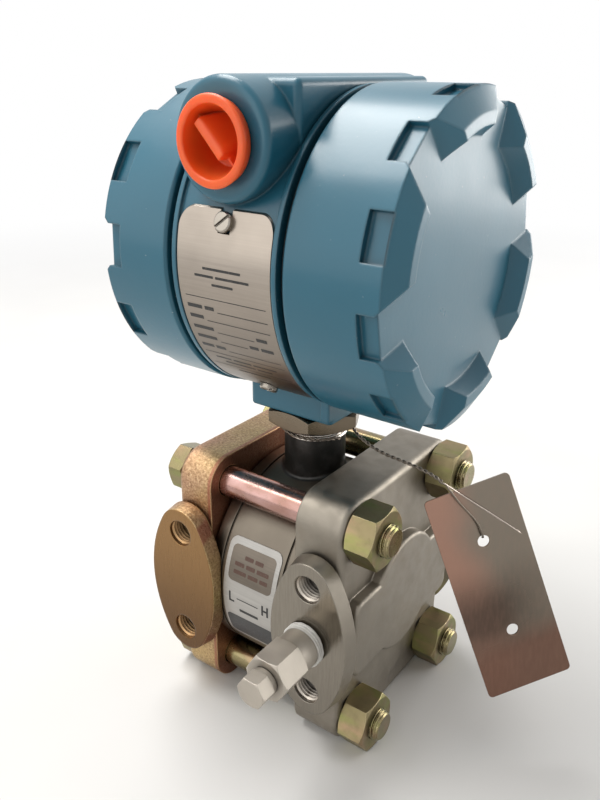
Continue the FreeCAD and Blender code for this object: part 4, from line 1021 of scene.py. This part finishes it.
class TRANSMITTER_OT_label_print(bpy.types.Operator):
    """Print the module label: foil window, low and high side marks and dark band"""
    bl_idname = "transmitter.label_print"
    bl_label = "Label print"

    def execute(self, context):
        sizes = context.scene.transmitter_print
        sheet = (sizes.label_radius, sizes.label_middle, (NECK_X, DRUM_AXIS))
        window = foil_finish("label_foil_window", (0.155, 0.132, 0.108), 0.85)
        ink = ink_finish("label_ink", (0.010, 0.010, 0.010), 0.1)
        band = ink_finish("label_dark_band", (0.035, 0.035, 0.036), 0.15)
        rows = ink_finish("label_row_ink", (0.08, 0.034, 0.02), 0.25)
        lines = bars([(-14.2, (-3.6, 0.2), (1.0, 4.6)), (-11.2, (-7.4, -3.2), (-2.4, 1.6), (2.4, 7.6)),
                      (-8.2, (-7.4, -1.8), (-1.0, 3.4), (4.2, 7.6))], 1.5)
        low = [(-8.8, -8.0, -0.6, 3.6), (-8.0, -6.4, 2.8, 3.6)]
        high = [(6.0, 6.8, -0.6, 3.6), (8.2, 9.0, -0.6, 3.6), (6.8, 8.2, 1.1, 1.9)]
        plain = [(-5.2, 4.4, 1.3, 1.7), (-4.2, 4.2, 5.6, 6.8)]
        for name, marks, layers, material, corner in (
                ("label_window", [(-9.6, 9.6, -18.8, -5.2)], 1.0, window, 2.0),
                ("label_band", [(-10.6, 10.6, 9.6, 20.2)], 1.0, band, 1.8),
                ("label_rows", lines, 2.0, rows, 0.3),
                ("label_marks", low + high + plain, 1.0, ink, 0.0)):
            marks_piece(name, marks, sheet, layers * sizes.ink_height, "sensor", material, corner)
        return {"FINISHED"}


# Tag wire: control points in millimetres about the drum's middle

WIRE_ROUTE = np.array([
    (12.9, -2.2, 54.4), (9.7, -8.8, 54.8), (3.0, -12.8, 55.4), (-4.2, -12.4, 56.0), (-10.4, -8.0, 56.6),
    (-13.1, -1.0, 57.0), (-11.4, 6.4, 57.1), (-5.8, 11.8, 57.1), (1.2, 13.1, 57.0), (7.8, 10.6, 56.9),
    (12.4, 5.2, 56.8), (17.4, 0.4, 56.2), (24.2, -1.8, 54.6), (30.6, -1.8, 53.0), (37.0, -1.0, 52.2),
    (43.4, -1.4, 51.6), (49.6, -1.6, 50.6), (54.6, -1.4, 47.8), (58.0, -0.6, 43.4), (64.185, 4.151, 35.075),
    (66.566, 4.349, 29.572), (64.796, 6.406, 28.880)])
TAIL_ROUTE = np.array([(52.6, -1.9, 49.4), (56.2, 1.6, 45.6), (61.6, 5.6, 41.0), (68.8, 10.6, 35.2),
                       (75.4, 14.6, 29.9)])
SLANT = (0.28, 0.83, 0.48)
SMALLEST_STEP = 1e-7


def smooth_line(route, steps):
    """Points of a quadratic NURBS line through a route's two ends, with its points as control points."""
    points = route * MM + np.array((NECK_X, 0.0, DRUM_AXIS))
    curve = bpy.data.curves.new("route", "CURVE")
    curve.dimensions = "3D"
    spline = curve.splines.new("NURBS")
    spline.points.add(len(points) - 1)
    spline.points.foreach_set("co", np.column_stack([points, np.ones(len(points))]).ravel())
    spline.order_u = 3
    spline.use_endpoint_u = True
    spline.resolution_u = steps
    holder = bpy.data.objects.new("route", curve)
    mesh = bpy.data.meshes.new_from_object(holder)
    line = np.zeros(len(mesh.vertices) * 3)
    mesh.vertices.foreach_get("co", line)
    bpy.data.objects.remove(holder)
    bpy.data.curves.remove(curve)
    bpy.data.meshes.remove(mesh)
    return line.reshape(-1, 3)


def step_lengths(line):
    """Distance from each point of a line to the next."""
    return np.linalg.norm(np.diff(line, axis=0), axis=1)


def line_frame(line):
    """Two directions across a line at each of its points, from its tangent and a fixed slanting direction."""
    tangent = np.gradient(line, axis=0)
    tangent /= np.linalg.norm(tangent, axis=1)[:, None]
    first = np.cross(tangent, np.array(SLANT))
    first /= np.linalg.norm(first, axis=1)[:, None]
    return first, np.cross(tangent, first)


def strand_grid(line, radius, columns):
    """Round strand: a circle of the radius carried along a line, closed to a point at both ends."""
    first, second = line_frame(line)
    theta = angles(columns)[..., None]
    size = np.full((len(line), 1, 1), radius)
    size[[0, -1]] = 0.0
    return line[:, None] + size * (np.cos(theta) * first[:, None] + np.sin(theta) * second[:, None])


class TRANSMITTER_OT_tag_wire(bpy.types.Operator):
    """Twist the tag's wire round the neck and through the tag's hole

    Two strands wind about the line at half a turn from each other; past the split one of them runs on along the
    line to the tag, and the loose end is two thin strands that spread apart."""
    bl_idname = "transmitter.tag_wire"
    bl_label = "Tag wire"

    def execute(self, context):
        sizes = context.scene.transmitter_wire
        strand, end_spread = 0.235 * sizes.diameter, 0.42 * sizes.diameter
        end_strand = 0.72 * strand
        line = smooth_line(WIRE_ROUTE, 14)
        line = line[np.concatenate([[True], step_lengths(line) > SMALLEST_STEP])]
        along = np.concatenate([[0.0], np.cumsum(step_lengths(line))])
        tail_line = smooth_line(TAIL_ROUTE, 12)
        split = int(np.argmin(np.linalg.norm(line - tail_line[0], axis=1)))
        spread = (sizes.diameter / 2 - strand) * (1.0 - ramp_up(along, along[split], along[split] + sizes.lay_pitch))
        phase = (TURN * along / sizes.lay_pitch)[:, None]
        first, second = line_frame(line)
        offset = spread[:, None] * (np.cos(phase) * first + np.sin(phase) * second)
        grids = [strand_grid(line + offset, strand, sizes.columns),
                 strand_grid((line - offset)[:split + 1], strand, sizes.columns)]
        steel = turned_steel_finish("drawn_wire", (0.20, 0.17, 0.14), 0, 0.25, 0.38)
        wire = piece_from_grids("twisted_tag_wire", grids, "sensor", steel, sharp=80.0)
        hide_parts("tag_wire")
        apart = end_spread * np.linspace(0.2, 1.0, len(tail_line))[:, None] * line_frame(tail_line)[0]
        tail_steel = turned_steel_finish("bright_wire_end", (0.62, 0.54, 0.48), 0, 0.16, 0.26)
        ends = [strand_grid(tail_line + way * apart, end_strand, sizes.columns) for way in (-1.0, 1.0)]
        tail = piece_from_grids("loose_wire_end", ends, "sensor", tail_steel, sharp=80.0)
        return {"FINISHED"}


# Stage

# Each lamp's place, and its width and height, in metres
LAMPS = {
    "key": ((-0.46, 0.0, 1.02), (0.95, 0.40)),
    "side": ((0.44, 0.80, 0.27), (0.95, 0.46)),
    "front": ((-0.40, -0.98, 0.62), (1.5, 1.2)),
}
LAMP_TARGET = Vector((NECK_X, 0.0, 0.12))
WHITE = (1.0, 1.0, 1.0)


class TRANSMITTER_OT_studio(bpy.types.Operator):
    """Set the floor, soft lights, white background and camera"""
    bl_idname = "transmitter.studio"
    bl_label = "Studio"

    def execute(self, context):
        scene = context.scene
        settings = scene.transmitter_stage
        scene.view_settings.view_transform = "Standard"
        self.world(scene, settings)
        self.floor(scene)
        for name, (place, size) in LAMPS.items():
            self.lamp(scene, f"{name}_light", Vector(place), size, getattr(settings, f"{name}_power"))
        self.camera(scene, settings)
        return {"FINISHED"}

    def world(self, scene, settings):
        """White for what the camera, gloss and glass see, and an even light for the rest."""
        world = bpy.data.worlds.new("white_room")
        scene.world = world
        world.use_nodes = True
        tree = world.node_tree
        tree.nodes.clear()
        path = add_node(tree, "ShaderNodeLightPath").outputs
        shiny = add_node(tree, "ShaderNodeMath", {0: path["Is Glossy Ray"], 1: path["Is Transmission Ray"]},
                         operation="MAXIMUM")
        seen = add_node(tree, "ShaderNodeMath", {0: path["Is Camera Ray"], 1: shiny.outputs[0]}, operation="MAXIMUM")
        fill = add_node(tree, "ShaderNodeBackground", {"Color": (1.0, 0.985, 0.965), "Strength": settings.fill})
        white = add_node(tree, "ShaderNodeBackground", {"Color": WHITE})
        mixed = add_node(tree, "ShaderNodeMixShader", {0: seen.outputs[0], 1: fill.outputs[0], 2: white.outputs[0]})
        add_node(tree, "ShaderNodeOutputWorld", {"Surface": mixed.outputs[0]})

    def floor(self, scene):
        """Round pale floor that turns white far from the object."""
        finish = Finish("pale_floor")
        tone = finish.grade(finish.noise(9.0, 2.0), 0.3, 0.7, (0.74, 0.735, 0.725), (0.78, 0.775, 0.765))
        finish.done(tone, 0.55)
        far = finish.node("ShaderNodeVectorMath", {0: finish.place}, "Value", operation="LENGTH")
        path = add_node(finish.tree, "ShaderNodeLightPath").outputs
        seen = finish.math("MAXIMUM", path["Is Camera Ray"], path["Is Glossy Ray"])
        white = finish.node("ShaderNodeEmission", {"Color": WHITE, "Strength": 1.0})
        both = finish.node("ShaderNodeMixShader", {0: finish.times(seen, finish.span(far, 0.25, 1.1)),
                                                   1: finish.shader.outputs[0], 2: white})
        feed(finish.tree, finish.output, {"Surface": both})
        radius = np.concatenate([[0.0], np.geomspace(0.05, 6.0, 24)])[:, None]
        grid = about_axis(0.0, radius, angles(96), 2, (NECK_X, 0.0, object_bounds()[0].z - 0.05 * MM))
        floor = bpy.data.objects.new("pale_floor", mesh_from_grids("pale_floor", [grid], finish.material))
        scene.collection.objects.link(floor)
        floor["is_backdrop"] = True

    def lamp(self, scene, name, place, size, watts):
        """Oblong soft light, of a width and a height, facing the part."""
        data = bpy.data.lights.new(name, "AREA")
        data.shape = "RECTANGLE"
        data.size, data.size_y = size
        data.energy = watts
        data.color = (1.0, 0.985, 0.96)
        lamp = bpy.data.objects.new(name, data)
        lamp.visible_camera = False
        lamp.location = place
        lamp.rotation_mode = "QUATERNION"
        lamp.rotation_quaternion = (LAMP_TARGET - place).to_track_quat("-Z", "Y")
        scene.collection.objects.link(lamp)

    def camera(self, scene, settings):
        """Camera at the photograph's place: its axes from azimuth, elevation and roll."""
        a, e, r = settings.azimuth, settings.elevation, settings.roll
        back = Vector((math.sin(a) * math.cos(e), -math.cos(a) * math.cos(e), math.sin(e)))
        right = Vector((math.cos(a), math.sin(a), 0.0))
        leaned = math.cos(r) * right + math.sin(r) * back.cross(right)
        data = bpy.data.cameras.new("photo_camera")
        data.lens = settings.lens
        data.sensor_width = 36.0
        data.clip_start = 0.01
        camera = bpy.data.objects.new("photo_camera", data)
        axes = Matrix((leaned, back.cross(leaned), back)).transposed().to_4x4()
        camera.matrix_world = Matrix.Translation(Vector(settings.camera_place)) @ axes
        scene.collection.objects.link(camera)
        scene.camera = camera


class TRANSMITTER_PT_sidebar(bpy.types.Panel):
    """Lists the transmitter's pieces and their sizes"""
    bl_idname = "TRANSMITTER_PT_sidebar"
    bl_label = "Transmitter"
    bl_space_type = "VIEW_3D"
    bl_region_type = "UI"
    bl_category = "Transmitter"

    def draw(self, context):
        for operator in OPERATORS:
            self.layout.operator(operator.bl_idname)
        for group in GROUPS:
            settings = getattr(context.scene, group)
            for name in settings.__annotations__:
                self.layout.prop(settings, name)


OPERATORS = (
    TRANSMITTER_OT_finishes, TRANSMITTER_OT_flange_bolts, TRANSMITTER_OT_tapped_holes, TRANSMITTER_OT_conduit_plug,
    TRANSMITTER_OT_vent_seal_tape, TRANSMITTER_OT_neck_thread, TRANSMITTER_OT_nameplate_print,
    TRANSMITTER_OT_label_print, TRANSMITTER_OT_tag_wire, TRANSMITTER_OT_studio)
GROUPS = {
    "transmitter_threads": ThreadSizes, "transmitter_plug": PlugSizes, "transmitter_print": PrintSizes,
    "transmitter_wire": WireSizes, "transmitter_colours": FinishColours, "transmitter_stage": StageSettings}


def register():
    """Registers the sizes, the operators and the sidebar."""
    for name, group in GROUPS.items():
        bpy.utils.register_class(group)
        setattr(bpy.types.Scene, name, PointerProperty(type=group))
    for tool in (*OPERATORS, TRANSMITTER_PT_sidebar):
        bpy.utils.register_class(tool)


def unregister():
    """Removes the sidebar, the operators and the sizes."""
    for tool in (TRANSMITTER_PT_sidebar, *reversed(OPERATORS)):
        bpy.utils.unregister_class(tool)
    for name, group in GROUPS.items():
        delattr(bpy.types.Scene, name)
        bpy.utils.unregister_class(group)


def main():
    """Builds everything in order."""
    register()
    bpy.ops.transmitter.finishes()
    bpy.ops.transmitter.flange_bolts()
    bpy.ops.transmitter.tapped_holes()
    bpy.ops.transmitter.conduit_plug()
    bpy.ops.transmitter.vent_seal_tape()
    bpy.ops.transmitter.neck_thread()
    bpy.ops.transmitter.nameplate_print()
    bpy.ops.transmitter.label_print()
    bpy.ops.transmitter.tag_wire()
    bpy.ops.transmitter.studio()


if __name__ == "__main__":
    main()
